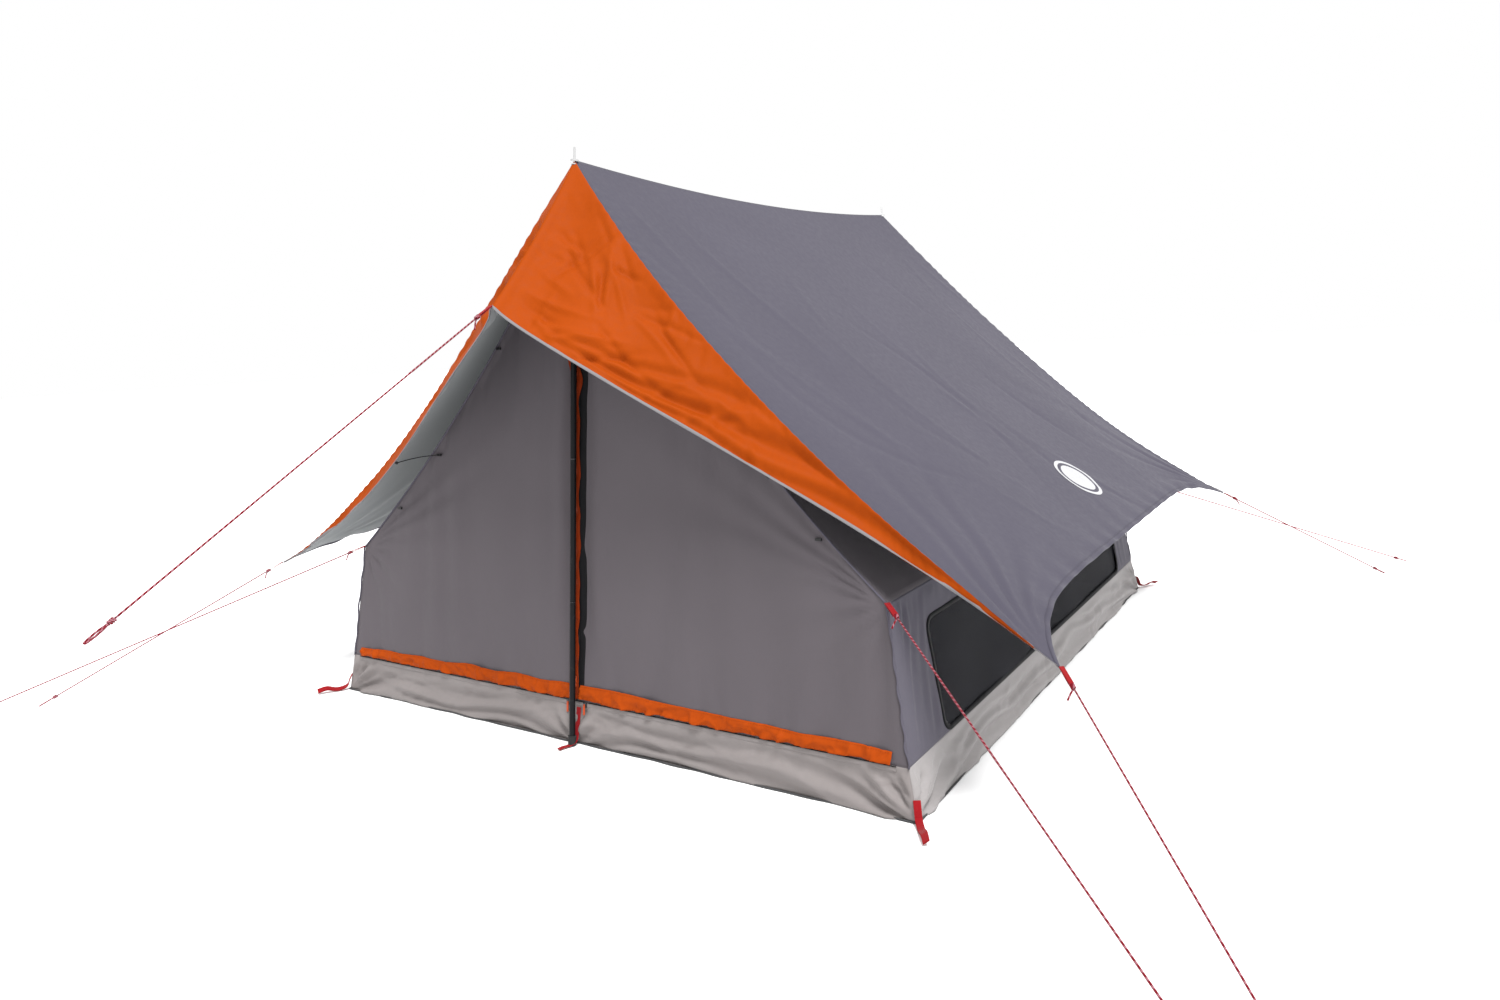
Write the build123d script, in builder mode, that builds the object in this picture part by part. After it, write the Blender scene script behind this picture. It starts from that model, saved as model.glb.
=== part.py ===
from build123d import *
import os
from math import atan, cos, degrees, hypot, radians, sin, tan

os.makedirs("parts", exist_ok=True)

# ---------------------------------------------------------------------------
# Driving dimensions, mm. X runs across the tent, Y along the ridge with the
# door at -Y, and Z is up. The origin is the middle of the floor on the ground.
# ---------------------------------------------------------------------------
floor_width = 2000
floor_length = 2200
lean = degrees(atan(187 / 1550))  # both end walls and both poles lean inwards

skin = 1.5        # every fabric panel
sheet = 2.0       # the groundsheet and the webbing that lies on the ground
clear = 1.0       # gap around a door leaf
seam_gap = 1.5    # from each fly panel to the line of its seam

# The inner tent's cross-section: half width and height of each corner
tub_foot = (floor_width / 2, sheet)
tub_top = (975, 117)
shoulder = (914, 472)
apex = (0, 1500)
roof_dip = 50     # how far the roof slope hangs below a straight line
roof_thick = 1.1  # the roof skin, measured along X and along Z in the slope's middle
tub_lift = 0.4    # the tub's end walls clear the groundsheet by this

# Door and side window
door_top = 1330
door_corner = 945
window_half_length = 865
window_bottom = 125
window_top = 390
window_corner = 30
mesh_gap = 0.5

# Zips
flap_height = 35
zip_flap_width = 21
zip_tape_width = 16
zip_gap = 3           # from the middle of the door to the flap and to the tape
zip_stop = 50         # the door zip ends this far under the door's top
tub_tape_width = 13
slider_width = 10
slider_height = 14
slider_thick = 4
pull_length = 30
pull_width = 6
pull_thick = 1.5
pin_radius = 1.2

# Poles
pole_radius = 8
pole_wall = 1.2
pole_offset = 20   # from the end wall to the pole's axis
pole_sections = 4
pole_start = 7     # the first tube's lower end, along the pole
pole_end = 1548    # the last tube's upper end, along the pole
slip_fit = 0.05       # radial gap of everything that slides into a tube
ferrule_length = 120
ferrule_wall = 1.2
foot_radius = 11
foot_height = 28
plug_length = 35      # of the spike, inside the top tube
collar_height = 3
neck_height = 13
spike_radius = 3
spike_length = 30
ring_radius = 13      # of the webbing ring around the pole at the inner tent's peak
ring_height = 15

# Flysheet
peak_height = 1550
fly_corner = Vector(1308, 1098, 397)
beak_tip = Vector(0, 1268, 1170)
seam_bulge = 18    # the orange seam runs this far out past a straight line in its middle,
seam_shoulder = 65 # and this much more in its upper half, and less in its lower half
seam_dip = 98
edge_tuck = Vector(0, -83, -27)  # how far the free edge is cut back in its middle
edge_skew = 0.68   # most of the cut lies in the lower half
beak_dip = 16
ridge_dip = 37
slope_dip = 60
hem_tuck = 102     # the side hem is cut back this far,
hem_rise = 68      # and lifted this far, in its middle
hem_power = 7
hole_depth = 70       # of the cut that lets the spike through the fly
grommet_radius = 11
grommet_height = 5
badge_radius = 85
badge_u = 0.09        # the badge's middle, across and down the right slope
badge_v = 0.85

# Webbing and guy lines
strap_width = 20
strap_thick = 3
loop_length = 120
loop_width = 26
loop_slot = 54        # length of the slot that takes the peg
loop_turn = (0.55, -0.84)   # the way the front right loop points
pole_slot = (10, 30)  # width and length of the slot in each pole strap
tab_length = 40
rope_radius = 2
knot_radius = 5.5
knot_length = 14
eye_length = 50
eye_width = 16
toggle_length = 16
toggle_width = 6
toggle_thick = 5
toggle_places = ((312, 1075), (565, 772), (748, 605))  # on the slope's edge, x and height
elastic_place = 1    # the toggle that the elastic comes from
elastic_radius = 1.5
elastic_v = 0.505    # where the elastic meets the fly's free edge
elastic_knob = 5
corner_guy = (48, 27)    # degrees: outwards from the X axis, and down
shoulder_guy = (42, 19.5)
beak_guy = (90, 30)
beak_guy_length = 1000

HANDS = {"left": -1, "right": 1}
ENDS = {"front": -1, "rear": 1}

# ---------------------------------------------------------------------------
# Planes and small helpers
# ---------------------------------------------------------------------------
slope = radians(lean)
front_wall = Plane(
    origin=(0, -floor_length / 2, 0),
    x_dir=(1, 0, 0),
    z_dir=(0, -cos(slope), sin(slope)),
)
inner_face = front_wall.offset(-skin)
outer_face = front_wall
pole_foot_y = -floor_length / 2 - pole_offset / cos(slope)
pole_axis = Plane(
    origin=(0, pole_foot_y, 0),
    x_dir=(1, 0, 0),
    z_dir=(0, sin(slope), cos(slope)),
)
rear_pole_axis = Plane(
    origin=(0, -pole_foot_y, 0),
    x_dir=(1, 0, 0),
    z_dir=(0, -sin(slope), cos(slope)),
)
peak_y = -(pole_foot_y + peak_height * tan(slope))  # the fly's peak, as a distance from the middle


def up(height):
    """Distance along the leaning wall at a height above the ground."""
    return height / cos(slope)


def on_wall(points):
    """(x, height) points in the front wall's own coordinates."""
    return [(x, up(z)) for x, z in points]


def save(builder, name):
    """Label a finished piece and write its STEP file."""
    builder.part.label = name
    export_step(builder.part, f"parts/{name}.step")


def trim_to_end_walls():
    """Cut the piece being built off at the inner faces of both end walls."""
    split(bisect_by=inner_face, keep=Keep.BOTTOM)
    rear = Plane(
        origin=(0, -inner_face.origin.Y, inner_face.origin.Z),
        x_dir=(1, 0, 0),
        z_dir=(0, cos(slope), sin(slope)),
    )
    split(bisect_by=rear, keep=Keep.BOTTOM)


def save_both_ends(builder, name):
    """Add the rear copy to a piece made at the front, and write both as one node."""
    with BuildPart() as pair:
        add(builder.part)
        mirror(builder.part, about=Plane.XZ)
    save(pair, name)


# ---------------------------------------------------------------------------
# Groundsheet and tub
# ---------------------------------------------------------------------------
with BuildPart() as groundsheet:
    Box(floor_width, floor_length, sheet, align=(Align.CENTER, Align.CENTER, Align.MIN))
save(groundsheet, "groundsheet")

with BuildPart() as tub_wall_front:
    with BuildSketch(front_wall):
        foot_x, foot_z = tub_foot
        top_x, top_z = tub_top
        lower = [(-foot_x, foot_z + tub_lift), (foot_x, foot_z + tub_lift)]
        upper = [(top_x, top_z), (-top_x, top_z)]
        with BuildLine():
            Polyline(*on_wall(lower + upper), close=True)
        make_face()
    extrude(amount=-skin)
save(tub_wall_front, "tub_wall_front")

with BuildPart() as tub_wall_rear:
    mirror(tub_wall_front.part, about=Plane.XZ)
save(tub_wall_rear, "tub_wall_rear")


def long_strip(bottom, top, hand):
    """A straight side panel between two corners of the cross-section, full length."""
    with BuildSketch(Plane.XZ) as section:
        with BuildLine():
            Polyline(
                (hand * bottom[0], bottom[1]),
                (hand * top[0], top[1]),
                (hand * (top[0] - skin), top[1]),
                (hand * (bottom[0] - skin), bottom[1]),
                close=True,
            )
        make_face()
    extrude(section.sketch, amount=floor_length, both=True)
    trim_to_end_walls()


def cut_window(hand, margin, mode):
    """Cut out the side window, or all but it, this much smaller all round."""
    height = window_top - window_bottom - 2 * margin
    with BuildSketch(Plane.YZ) as opening:
        with Locations((0, (window_bottom + window_top) / 2)):
            RectangleRounded(2 * (window_half_length - margin), height, window_corner - margin)
    extrude(opening.sketch, amount=hand * floor_width, mode=mode)


for name, hand in HANDS.items():
    with BuildPart() as tub_wall:
        long_strip(tub_foot, tub_top, hand)
    save(tub_wall, f"tub_wall_{name}")

    with BuildPart() as side_wall:
        long_strip(tub_top, shoulder, hand)
        cut_window(hand, 0, Mode.SUBTRACT)
    save(side_wall, f"side_wall_{name}")

    with BuildPart() as window_mesh:
        long_strip(tub_top, shoulder, hand)
        cut_window(hand, mesh_gap, Mode.INTERSECT)
    save(window_mesh, f"window_mesh_{name}")

# ---------------------------------------------------------------------------
# Inner tent: end walls, door leaves and roof
# ---------------------------------------------------------------------------
roof_rise = apex[1] - shoulder[1]
roof_chord = hypot(shoulder[0], roof_rise)
roof_middle = (
    shoulder[0] / 2 - roof_dip * roof_rise / roof_chord,
    (apex[1] + shoulder[1]) / 2 - roof_dip * shoulder[0] / roof_chord,
)

for name, hand in HANDS.items():
    with BuildPart() as front_panel:
        with BuildSketch(front_wall):
            corners = [shoulder, tub_top, (door_corner, tub_top[1]), (0, door_top), apex]
            flat = on_wall([(hand * x, z) for x, z in corners])
            dip = on_wall([(hand * roof_middle[0], roof_middle[1])])[0]
            with BuildLine():
                Polyline(*flat)
                ThreePointArc(flat[-1], dip, flat[0])
            make_face()
        extrude(amount=-skin)
    save(front_panel, f"front_panel_{name}")

    with BuildPart() as door_leaf:
        with BuildSketch(front_wall):
            with BuildLine():
                corners = [(0, tub_top[1]), (hand * door_corner, tub_top[1]), (0, door_top)]
                Polyline(*on_wall(corners), close=True)
            make_face()
            offset(amount=-clear, kind=Kind.INTERSECTION)
        extrude(amount=-skin)
    save(door_leaf, f"door_leaf_{name}")

    with BuildPart() as inner_roof:
        with BuildSketch(Plane.XZ):
            with BuildLine():
                top_edge = [(hand * x, z) for x, z in (shoulder, roof_middle, apex)]
                under_edge = [
                    (0, apex[1] - 2 * skin),
                    (hand * (roof_middle[0] - roof_thick), roof_middle[1] - roof_thick),
                    (hand * (shoulder[0] - skin), shoulder[1]),
                ]
                ThreePointArc(*top_edge)
                Line(top_edge[-1], under_edge[0])
                ThreePointArc(*under_edge)
                Line(under_edge[-1], top_edge[0])
            make_face()
        extrude(amount=floor_length, both=True)
        trim_to_end_walls()
    save(inner_roof, f"inner_roof_{name}")

with BuildPart() as front_wall_blank:
    with BuildSketch(front_wall):
        with BuildLine():
            sides = [(-shoulder[0], shoulder[1]), (-tub_top[0], tub_top[1]), tub_top, shoulder]
            flat = on_wall(sides)
            top = on_wall([apex])[0]
            dips = on_wall([roof_middle, (-roof_middle[0], roof_middle[1])])
            Polyline(*flat)
            ThreePointArc(flat[-1], dips[0], top)
            ThreePointArc(top, dips[1], flat[0])
        make_face()
    extrude(amount=-skin)

with BuildPart() as rear_wall:
    mirror(front_wall_blank.part, about=Plane.XZ)
save(rear_wall, "rear_wall")

# ---------------------------------------------------------------------------
# Door zips: flaps, tapes, sliders and pulls
# ---------------------------------------------------------------------------
zip_top = door_top - zip_stop
flap_bottom = tub_top[1] + 5


def wall_strip(corners, thickness, start=0.0):
    """A flat piece on the front wall's outer face, from its (x, height) corners."""
    with BuildSketch(outer_face.offset(start)) as outline:
        with BuildLine():
            Polyline(*on_wall(corners), close=True)
        make_face()
    extrude(outline.sketch, amount=thickness)


def wall_rectangle(x0, x1, z0, z1, thickness, start=0.0):
    """wall_strip for an upright rectangle."""
    wall_strip([(x0, z0), (x1, z0), (x1, z1), (x0, z1)], thickness, start)


with BuildPart() as door_zip_flap:
    wall_rectangle(-zip_gap - zip_flap_width, -zip_gap, flap_bottom, zip_top, skin)
save(door_zip_flap, "door_zip_flap")

with BuildPart() as door_zip_tape:
    wall_rectangle(zip_gap, zip_gap + zip_tape_width, flap_bottom, zip_top, skin)
save(door_zip_tape, "door_zip_tape")

fold_run = door_corner / (door_top - tub_top[1])  # the fold line's x for each mm of height
flap_start = zip_gap + zip_flap_width + zip_gap
flap_top = flap_bottom + flap_height
fold_gap = 8
lower_end = door_corner - (flap_bottom - tub_top[1]) * fold_run - fold_gap
upper_end = door_corner - (flap_top - tub_top[1]) * fold_run - fold_gap
for name, hand in HANDS.items():
    with BuildPart() as door_hem_flap:
        wall_strip(
            [
                (hand * flap_start, flap_bottom),
                (hand * lower_end, flap_bottom),
                (hand * upper_end, flap_top),
                (hand * flap_start, flap_top),
            ],
            skin,
        )
    save(door_hem_flap, f"door_hem_flap_{name}")

tape_top = tub_top[1] - clear
tape_bottom = tape_top - tub_tape_width
with BuildPart() as tub_zip_tape:
    wall_rectangle(-door_corner, door_corner, tape_bottom, tape_top, skin - 0.5)
save(tub_zip_tape, "tub_zip_tape")


def slider_and_pull(name, x, bottom, stand_off):
    """One zip slider with its pull, the slider's lower edge at this height."""
    pivot = bottom + slider_height / 2
    with BuildPart() as slider:
        wall_rectangle(
            x - slider_width / 2, x + slider_width / 2, bottom, bottom + slider_height,
            slider_thick, stand_off,
        )
        with BuildSketch(outer_face.offset(stand_off + slider_thick)) as pin:
            with Locations((x, up(pivot))):
                Circle(pin_radius)
        extrude(pin.sketch, amount=pull_thick + 1)
    save(slider, f"zip_slider_{name}")

    with BuildPart() as pull:
        with BuildSketch(outer_face.offset(stand_off + slider_thick + 0.4)) as tag:
            with Locations((x, up(pivot) - pull_length / 2 + pull_width / 2)):
                SlotOverall(pull_length, pull_width, rotation=90)
            with Locations((x, up(pivot))):
                Circle(pin_radius + 0.3, mode=Mode.SUBTRACT)
        extrude(tag.sketch, amount=pull_thick)
    save(pull, f"zip_pull_{name}")


stand_off = skin + 0.5
slider_and_pull("door", 0, tub_top[1] + 58, stand_off)
slider_and_pull("left", -3 * slider_width, tape_bottom - 1, skin)
slider_and_pull("right", 3 * slider_width, tape_bottom - 1, skin)

# ---------------------------------------------------------------------------
# Poles: four tube sections on ferrules, a rubber foot and a steel spike
# ---------------------------------------------------------------------------
section_length = (pole_end - pole_start) / pole_sections
bore = pole_radius - pole_wall


def on_pole(radius, start, length, hole=0.0, mode=Mode.ADD):
    """A round piece about the front pole's axis, from a distance along it."""
    with BuildSketch(pole_axis.offset(start)) as disc:
        Circle(radius)
        if hole:
            Circle(hole, mode=Mode.SUBTRACT)
    extrude(disc.sketch, amount=length, mode=mode)


with BuildPart() as front_pole_sections:
    for number in range(pole_sections):
        on_pole(pole_radius, pole_start + number * section_length, section_length - 0.4, bore)
save(front_pole_sections, "front_pole_sections")

with BuildPart() as rear_pole_sections:
    mirror(front_pole_sections.part, about=Plane.XZ)
save(rear_pole_sections, "rear_pole_sections")

with BuildPart() as ferrules:
    for number in range(1, pole_sections):
        joint_at = pole_start + number * section_length
        on_pole(bore - slip_fit, joint_at - ferrule_length / 2, ferrule_length, bore - ferrule_wall)
save_both_ends(ferrules, "pole_ferrules")

with BuildPart() as pole_foot:
    on_pole(foot_radius, -5, foot_height + 5)
    on_pole(pole_radius + 0.1, pole_start - 0.1, foot_height, mode=Mode.SUBTRACT)
    split(bisect_by=Plane.XY.offset(sheet), keep=Keep.TOP)
save_both_ends(pole_foot, "pole_feet")

# The spike plugs into the top tube, and its collar sits on the tube's end.
pin_start = pole_end + collar_height + neck_height
with BuildPart() as spike:
    on_pole(bore - slip_fit, pole_end - plug_length, plug_length)
    on_pole(pole_radius, pole_end, collar_height)
    on_pole(spike_radius + 0.5, pole_end + collar_height, neck_height)
    on_pole(spike_radius, pin_start, spike_length)
    tip = spike.faces().sort_by(Axis.Z)[-1]
    chamfer(tip.edges(), length=0.8)
save_both_ends(spike, "pole_spikes")

# A webbing ring holds the inner tent's peak to the pole.
with BuildPart() as peak_ring:
    on_pole(ring_radius, up(apex[1]) - 1.5 * ring_height, ring_height, pole_radius + 0.4)
save_both_ends(peak_ring, "peak_rings")

# ---------------------------------------------------------------------------
# Flysheet: curved panels, described by where a point lies down and across them
# ---------------------------------------------------------------------------
peak = Vector(0, peak_y, peak_height)


def bow(v):
    """0 at both ends of a stretch and 1 in its middle."""
    return 4 * v * (1 - v)


def seam_point(v):
    """The rear seam between grey and orange, from the peak (0) to the corner (1)."""
    straight = peak + (fly_corner - peak) * v
    return straight + Vector(0, seam_bulge + seam_shoulder * (1 - 2 * v), -seam_dip) * bow(v)


def edge_point(v):
    """The free edge of the orange panel, from the beak's tip (0) to the corner (1)."""
    straight = beak_tip + (fly_corner - beak_tip) * v
    tuck = Vector(0, edge_tuck.Y * (1 + edge_skew * (2 * v - 1)), edge_tuck.Z)
    return straight + tuck * bow(v)


def main_point(u, v):
    """The grey panel: u runs from the front seam (-1) to the rear one (1), v down to the hem."""
    end = seam_point(v)
    ridge_z = peak_height - ridge_dip
    hem_x = fly_corner.X - hem_tuck
    hem_z = fly_corner.Z + hem_rise
    middle_x = hem_x * v
    middle_z = ridge_z + (hem_z - ridge_z) * v - slope_dip * bow(v)
    sway = 1 - abs(u) ** (2 + (hem_power - 2) * v)
    x = end.X + (middle_x - end.X) * sway
    z = end.Z + (middle_z - end.Z) * sway
    return Vector(seam_gap + x, u * (end.Y - seam_gap), z)


def awning_point(v, w):
    """The orange panel at the rear: v as on its seam, w from the seam to the free edge."""
    across = seam_point(v) * (1 - w) + edge_point(v) * w
    dip = beak_dip * bow(w) * (1 - v)
    return across + Vector(seam_gap, seam_gap * (1 - w), -dip)


def fly_panel(surface_point, us, vs):
    """A skin of fabric through a grid of points, with the spike's hole at the peak."""
    grid = [[surface_point(u, v) for v in vs] for u in us]
    thicken(Face.make_surface_from_array_of_points(grid), amount=skin / 2, both=True)
    for plane in (pole_axis, rear_pole_axis):
        with BuildSketch(plane.offset(pole_end - 30)) as hole:
            Circle(grommet_radius + 0.5)
        extrude(hole.sketch, amount=hole_depth, mode=Mode.SUBTRACT)


def steps(start, end, count):
    """Evenly spaced values, both ends included."""
    return [start + (end - start) * i / (count - 1) for i in range(count)]


with BuildPart() as fly_main:
    fly_panel(main_point, steps(-1, 1, 17), steps(0, 1, 9))
with BuildPart() as fly_awning:
    fly_panel(awning_point, steps(0, 0.97, 11), steps(0, 1, 4))

with BuildPart() as fly_main_right:
    add(fly_main.part)
save(fly_main_right, "fly_main_right")
with BuildPart() as fly_main_left:
    mirror(fly_main.part, about=Plane.YZ)
save(fly_main_left, "fly_main_left")

with BuildPart() as fly_rear_right:
    add(fly_awning.part)
save(fly_rear_right, "fly_rear_right")
with BuildPart() as fly_rear_left:
    mirror(fly_awning.part, about=Plane.YZ)
save(fly_rear_left, "fly_rear_left")
with BuildPart() as fly_front_right:
    mirror(fly_rear_right.part, about=Plane.XZ)
save(fly_front_right, "fly_front_right")
with BuildPart() as fly_front_left:
    mirror(fly_rear_left.part, about=Plane.XZ)
save(fly_front_left, "fly_front_left")

with BuildPart() as grommet:
    on_pole(grommet_radius, pole_end + collar_height + 5, grommet_height, spike_radius + 1)
save_both_ends(grommet, "fly_grommets")

# A plain round badge lies on the right slope.
badge_at = main_point(badge_u, badge_v)
along = main_point(badge_u + 0.01, badge_v) - badge_at
down = main_point(badge_u, badge_v + 0.01) - badge_at
outwards = down.cross(along).normalized()
outwards = outwards if outwards.Z > 0 else -outwards
with BuildPart() as fly_badge:
    with BuildSketch(Plane(origin=badge_at + outwards * 4, x_dir=along, z_dir=outwards)):
        Circle(badge_radius)
    extrude(amount=1)
save(fly_badge, "fly_badge")

# ---------------------------------------------------------------------------
# Webbing that the pegs and poles hold down
# ---------------------------------------------------------------------------
with BuildPart() as corner_loop:
    corner = Vector(floor_width / 2, -floor_length / 2, 0)
    outward = Vector(*loop_turn, 0)
    start = corner + outward * 18
    with BuildSketch(Plane(origin=start, x_dir=outward, z_dir=(0, 0, 1))):
        with Locations((loop_length / 2, 0)):
            Rectangle(loop_length, loop_width)
        with Locations((loop_length * 0.7, 0)):
            Rectangle(loop_slot, loop_width / 2, mode=Mode.SUBTRACT)
    extrude(amount=strap_thick)
with BuildPart() as corner_peg_loops:
    add(corner_loop.part)
    mirror(about=Plane.YZ)
    mirror(about=Plane.XZ)
save(corner_peg_loops, "corner_peg_loops")

strap_end = pole_foot_y - foot_radius - 47
eye_end = strap_end + 8
with BuildPart() as pole_strap:
    with BuildSketch():
        strap_start = -floor_length / 2 - 0.3
        with Locations((0, (strap_end + strap_start) / 2)):
            Rectangle(strap_width + 4, strap_start - strap_end)
        with Locations((0, eye_end + pole_slot[1] / 2)):
            Rectangle(*pole_slot, mode=Mode.SUBTRACT)
    extrude(amount=sheet)
    wall_rectangle(-strap_width / 2, strap_width / 2, sheet / 2, tape_bottom - 5, skin, 0.5)
save_both_ends(pole_strap, "pole_straps")

# ---------------------------------------------------------------------------
# Toggles on the front slope edges, and an elastic from one of them to the fly's edge
# ---------------------------------------------------------------------------
elastic_x, elastic_z = toggle_places[elastic_place]
toggle_middle = (elastic_x - toggle_length / 2, up(elastic_z - toggle_width / 2), 0)
elastic_foot = outer_face.offset(toggle_thick).from_local_coords(toggle_middle)
edge_at = edge_point(elastic_v)
elastic_top = Vector(edge_at.X, -edge_at.Y, edge_at.Z)
elastic_way = (elastic_top - elastic_foot).normalized()
knob_at = elastic_top - elastic_way * (2 * elastic_knob + 2)
elastic_length = (knob_at - elastic_foot).length - elastic_knob + 0.5

toggles = []
for hand in HANDS.values():
    with BuildPart() as hand_toggles:
        for x, z in toggle_places:
            middle = hand * (x - toggle_length / 2)
            wall_rectangle(
                middle - toggle_length / 2, middle + toggle_length / 2,
                z - toggle_width, z, toggle_thick,
            )
        with Locations((hand * knob_at.X, knob_at.Y, knob_at.Z)):
            Sphere(elastic_knob)
    toggles.append(hand_toggles.part)
with BuildPart() as elastic_toggles:
    add(toggles)
save(elastic_toggles, "elastic_toggles")

for name, hand in HANDS.items():
    foot = Vector(hand * elastic_foot.X, elastic_foot.Y, elastic_foot.Z)
    way = Vector(hand * elastic_way.X, elastic_way.Y, elastic_way.Z)
    with BuildPart() as elastic:
        with BuildSketch(Plane(origin=foot, z_dir=way)):
            Circle(elastic_radius)
        extrude(amount=elastic_length)
    save(elastic, f"fly_elastic_{name}")
print("elastic", [round(c, 1) for c in elastic_foot], [round(c, 1) for c in knob_at], round(elastic_length, 1))

# ---------------------------------------------------------------------------
# Guy lines: a webbing tab, a knot, a straight taut rope, and a tied eye at its end
# ---------------------------------------------------------------------------


def guy_direction(angles, hand, end):
    """Unit vector outwards and down, from (outwards, down) angles in degrees."""
    turn = radians(angles[0])
    fall = radians(angles[1])
    flat = Vector(hand * cos(turn), end * sin(turn), 0)
    return flat * cos(fall) + Vector(0, 0, -sin(fall))


def across_guy(direction, point):
    """The plane across a rope at a point, its local X level with the ground."""
    level = Vector(direction.Y, -direction.X, 0).normalized()
    return Plane(origin=point, x_dir=level, z_dir=direction)


def rope_length(start, direction):
    """How long the rope is if its eye just reaches the ground."""
    ends_at = start.Z / -direction.Z
    return ends_at - knot_length - eye_length - 5


shoulder_y = floor_length / 2 - shoulder[1] * tan(slope)
guys = {"beak_front": (Vector(0, -beak_tip.Y - 5, beak_tip.Z), (0, -1), beak_guy)}
guys["beak_rear"] = (Vector(0, beak_tip.Y + 5, beak_tip.Z), (0, 1), beak_guy)
for end_name, end in ENDS.items():
    for name, hand in HANDS.items():
        fly_at = Vector(hand * (fly_corner.X + 3), end * fly_corner.Y, fly_corner.Z)
        guys[f"corner_{end_name}_{name}"] = (fly_at, (hand, end), corner_guy)
        inner_at = Vector(hand * (shoulder[0] + 4), end * (shoulder_y + 4), shoulder[1])
        guys[f"shoulder_{end_name}_{name}"] = (inner_at, (hand, end), shoulder_guy)

fly_tabs = []
shoulder_tabs = []
knots = []
eyes = []
for name, (anchor, (hand, end), angles) in guys.items():
    direction = guy_direction(angles, hand, end)
    knot_at = anchor + direction * tab_length
    rope_at = knot_at + direction * knot_length
    is_beak = name.startswith("beak")
    length = beak_guy_length if is_beak else rope_length(rope_at, direction)
    eye_at = rope_at + direction * (length + knot_length)

    with BuildPart() as tab:
        with BuildSketch(across_guy(direction, anchor)):
            Rectangle(strap_width, strap_thick)
        extrude(amount=tab_length)
    tabs = shoulder_tabs if name.startswith("shoulder") else fly_tabs
    tabs.append(tab.part)

    with BuildPart() as knot:
        with BuildSketch(across_guy(direction, knot_at)):
            Circle(knot_radius)
        extrude(amount=knot_length)
    knots.append(knot.part)

    with BuildPart() as rope:
        with BuildSketch(across_guy(direction, rope_at)):
            Circle(rope_radius)
        extrude(amount=length)
    save(rope, f"guy_{name}")
    print(f"guy_{name}", [round(c, 1) for c in rope_at], "length", round(length, 1))

    with BuildPart() as eye:
        with BuildSketch(across_guy(direction, eye_at - direction * knot_length)):
            Circle(knot_radius)
        extrude(amount=knot_length)
        level = Vector(direction.Y, -direction.X, 0).normalized()
        face_up = level.cross(direction)
        with BuildSketch(Plane(origin=eye_at, x_dir=direction, z_dir=face_up)):
            with Locations((eye_length / 2 - rope_radius, 0)):
                SlotOverall(eye_length, eye_width)
                SlotOverall(eye_length - 4 * rope_radius, eye_width - 4 * rope_radius, mode=Mode.SUBTRACT)
        extrude(amount=rope_radius, both=True)
    eyes.append(eye.part)

for name, solids in {
    "fly_tabs": fly_tabs,
    "shoulder_tabs": shoulder_tabs,
    "guy_knots": knots,
    "guy_eyes": eyes,
}.items():
    with BuildPart() as group:
        add(solids)
    save(group, name)
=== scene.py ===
from math import atan, cos, hypot, pi, radians, sin, sqrt, tan

import bmesh
import bpy
import numpy as np
from mathutils import Matrix, Vector


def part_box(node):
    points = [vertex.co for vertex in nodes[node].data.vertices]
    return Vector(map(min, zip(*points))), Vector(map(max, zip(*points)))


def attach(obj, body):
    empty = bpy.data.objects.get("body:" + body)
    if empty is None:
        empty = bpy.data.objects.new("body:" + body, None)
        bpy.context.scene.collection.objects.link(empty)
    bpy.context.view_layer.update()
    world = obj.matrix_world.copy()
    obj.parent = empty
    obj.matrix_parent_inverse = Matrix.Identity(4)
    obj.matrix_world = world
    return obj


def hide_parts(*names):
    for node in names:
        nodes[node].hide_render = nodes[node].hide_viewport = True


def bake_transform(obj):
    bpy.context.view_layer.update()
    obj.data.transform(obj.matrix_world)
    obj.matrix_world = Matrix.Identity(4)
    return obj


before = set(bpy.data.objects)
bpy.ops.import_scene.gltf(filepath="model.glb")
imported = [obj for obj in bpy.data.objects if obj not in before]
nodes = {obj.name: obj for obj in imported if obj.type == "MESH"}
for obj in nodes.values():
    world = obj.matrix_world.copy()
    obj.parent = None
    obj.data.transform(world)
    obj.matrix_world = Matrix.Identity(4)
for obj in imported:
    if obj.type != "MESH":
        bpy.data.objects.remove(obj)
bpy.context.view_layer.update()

# ---- Driving dimensions in metres, the same as the CAD's. The door is at -Y.
# Inner tent: pairs are (half width, height), except ROOF_DIP and the heights.
FLOOR_LENGTH = 2.2
LEAN = atan(187 / 1550)
SHEET = 0.002
TUB_FOOT = (1.0, SHEET)
TUB_TOP = (0.975, 0.117)
SHOULDER = (0.914, 0.472)
APEX = (0.0, 1.5)
ROOF_DIP = 0.05
DOOR_TOP = 1.33
DOOR_CORNER = 0.945
WINDOW_HALF = 0.865
WINDOW_LOW = 0.125
WINDOW_HIGH = 0.39
WINDOW_CORNER = 0.03

# Flysheet: corners are of its right rear quarter.
PEAK_HEIGHT = 1.55
POLE_OFFSET = 0.02
FLY_CORNER = np.array([1.308, 1.098, 0.397])
BEAK_TIP = np.array([0.0, 1.268, 1.17])
SEAM_BULGE = 0.018
SEAM_SHOULDER = 0.065
SEAM_DIP = 0.098
EDGE_TUCK = (-0.083, -0.027)
EDGE_SKEW = 0.68
BEAK_DIP = 0.016
RIDGE_DIP = 0.037
SLOPE_DIP = 0.06
HEM_TUCK = 0.102
HEM_RISE = 0.068
HEM_POWER = 7
BADGE_RADIUS = 0.085
BADGE_U = 0.09
BADGE_V = 0.85

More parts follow.
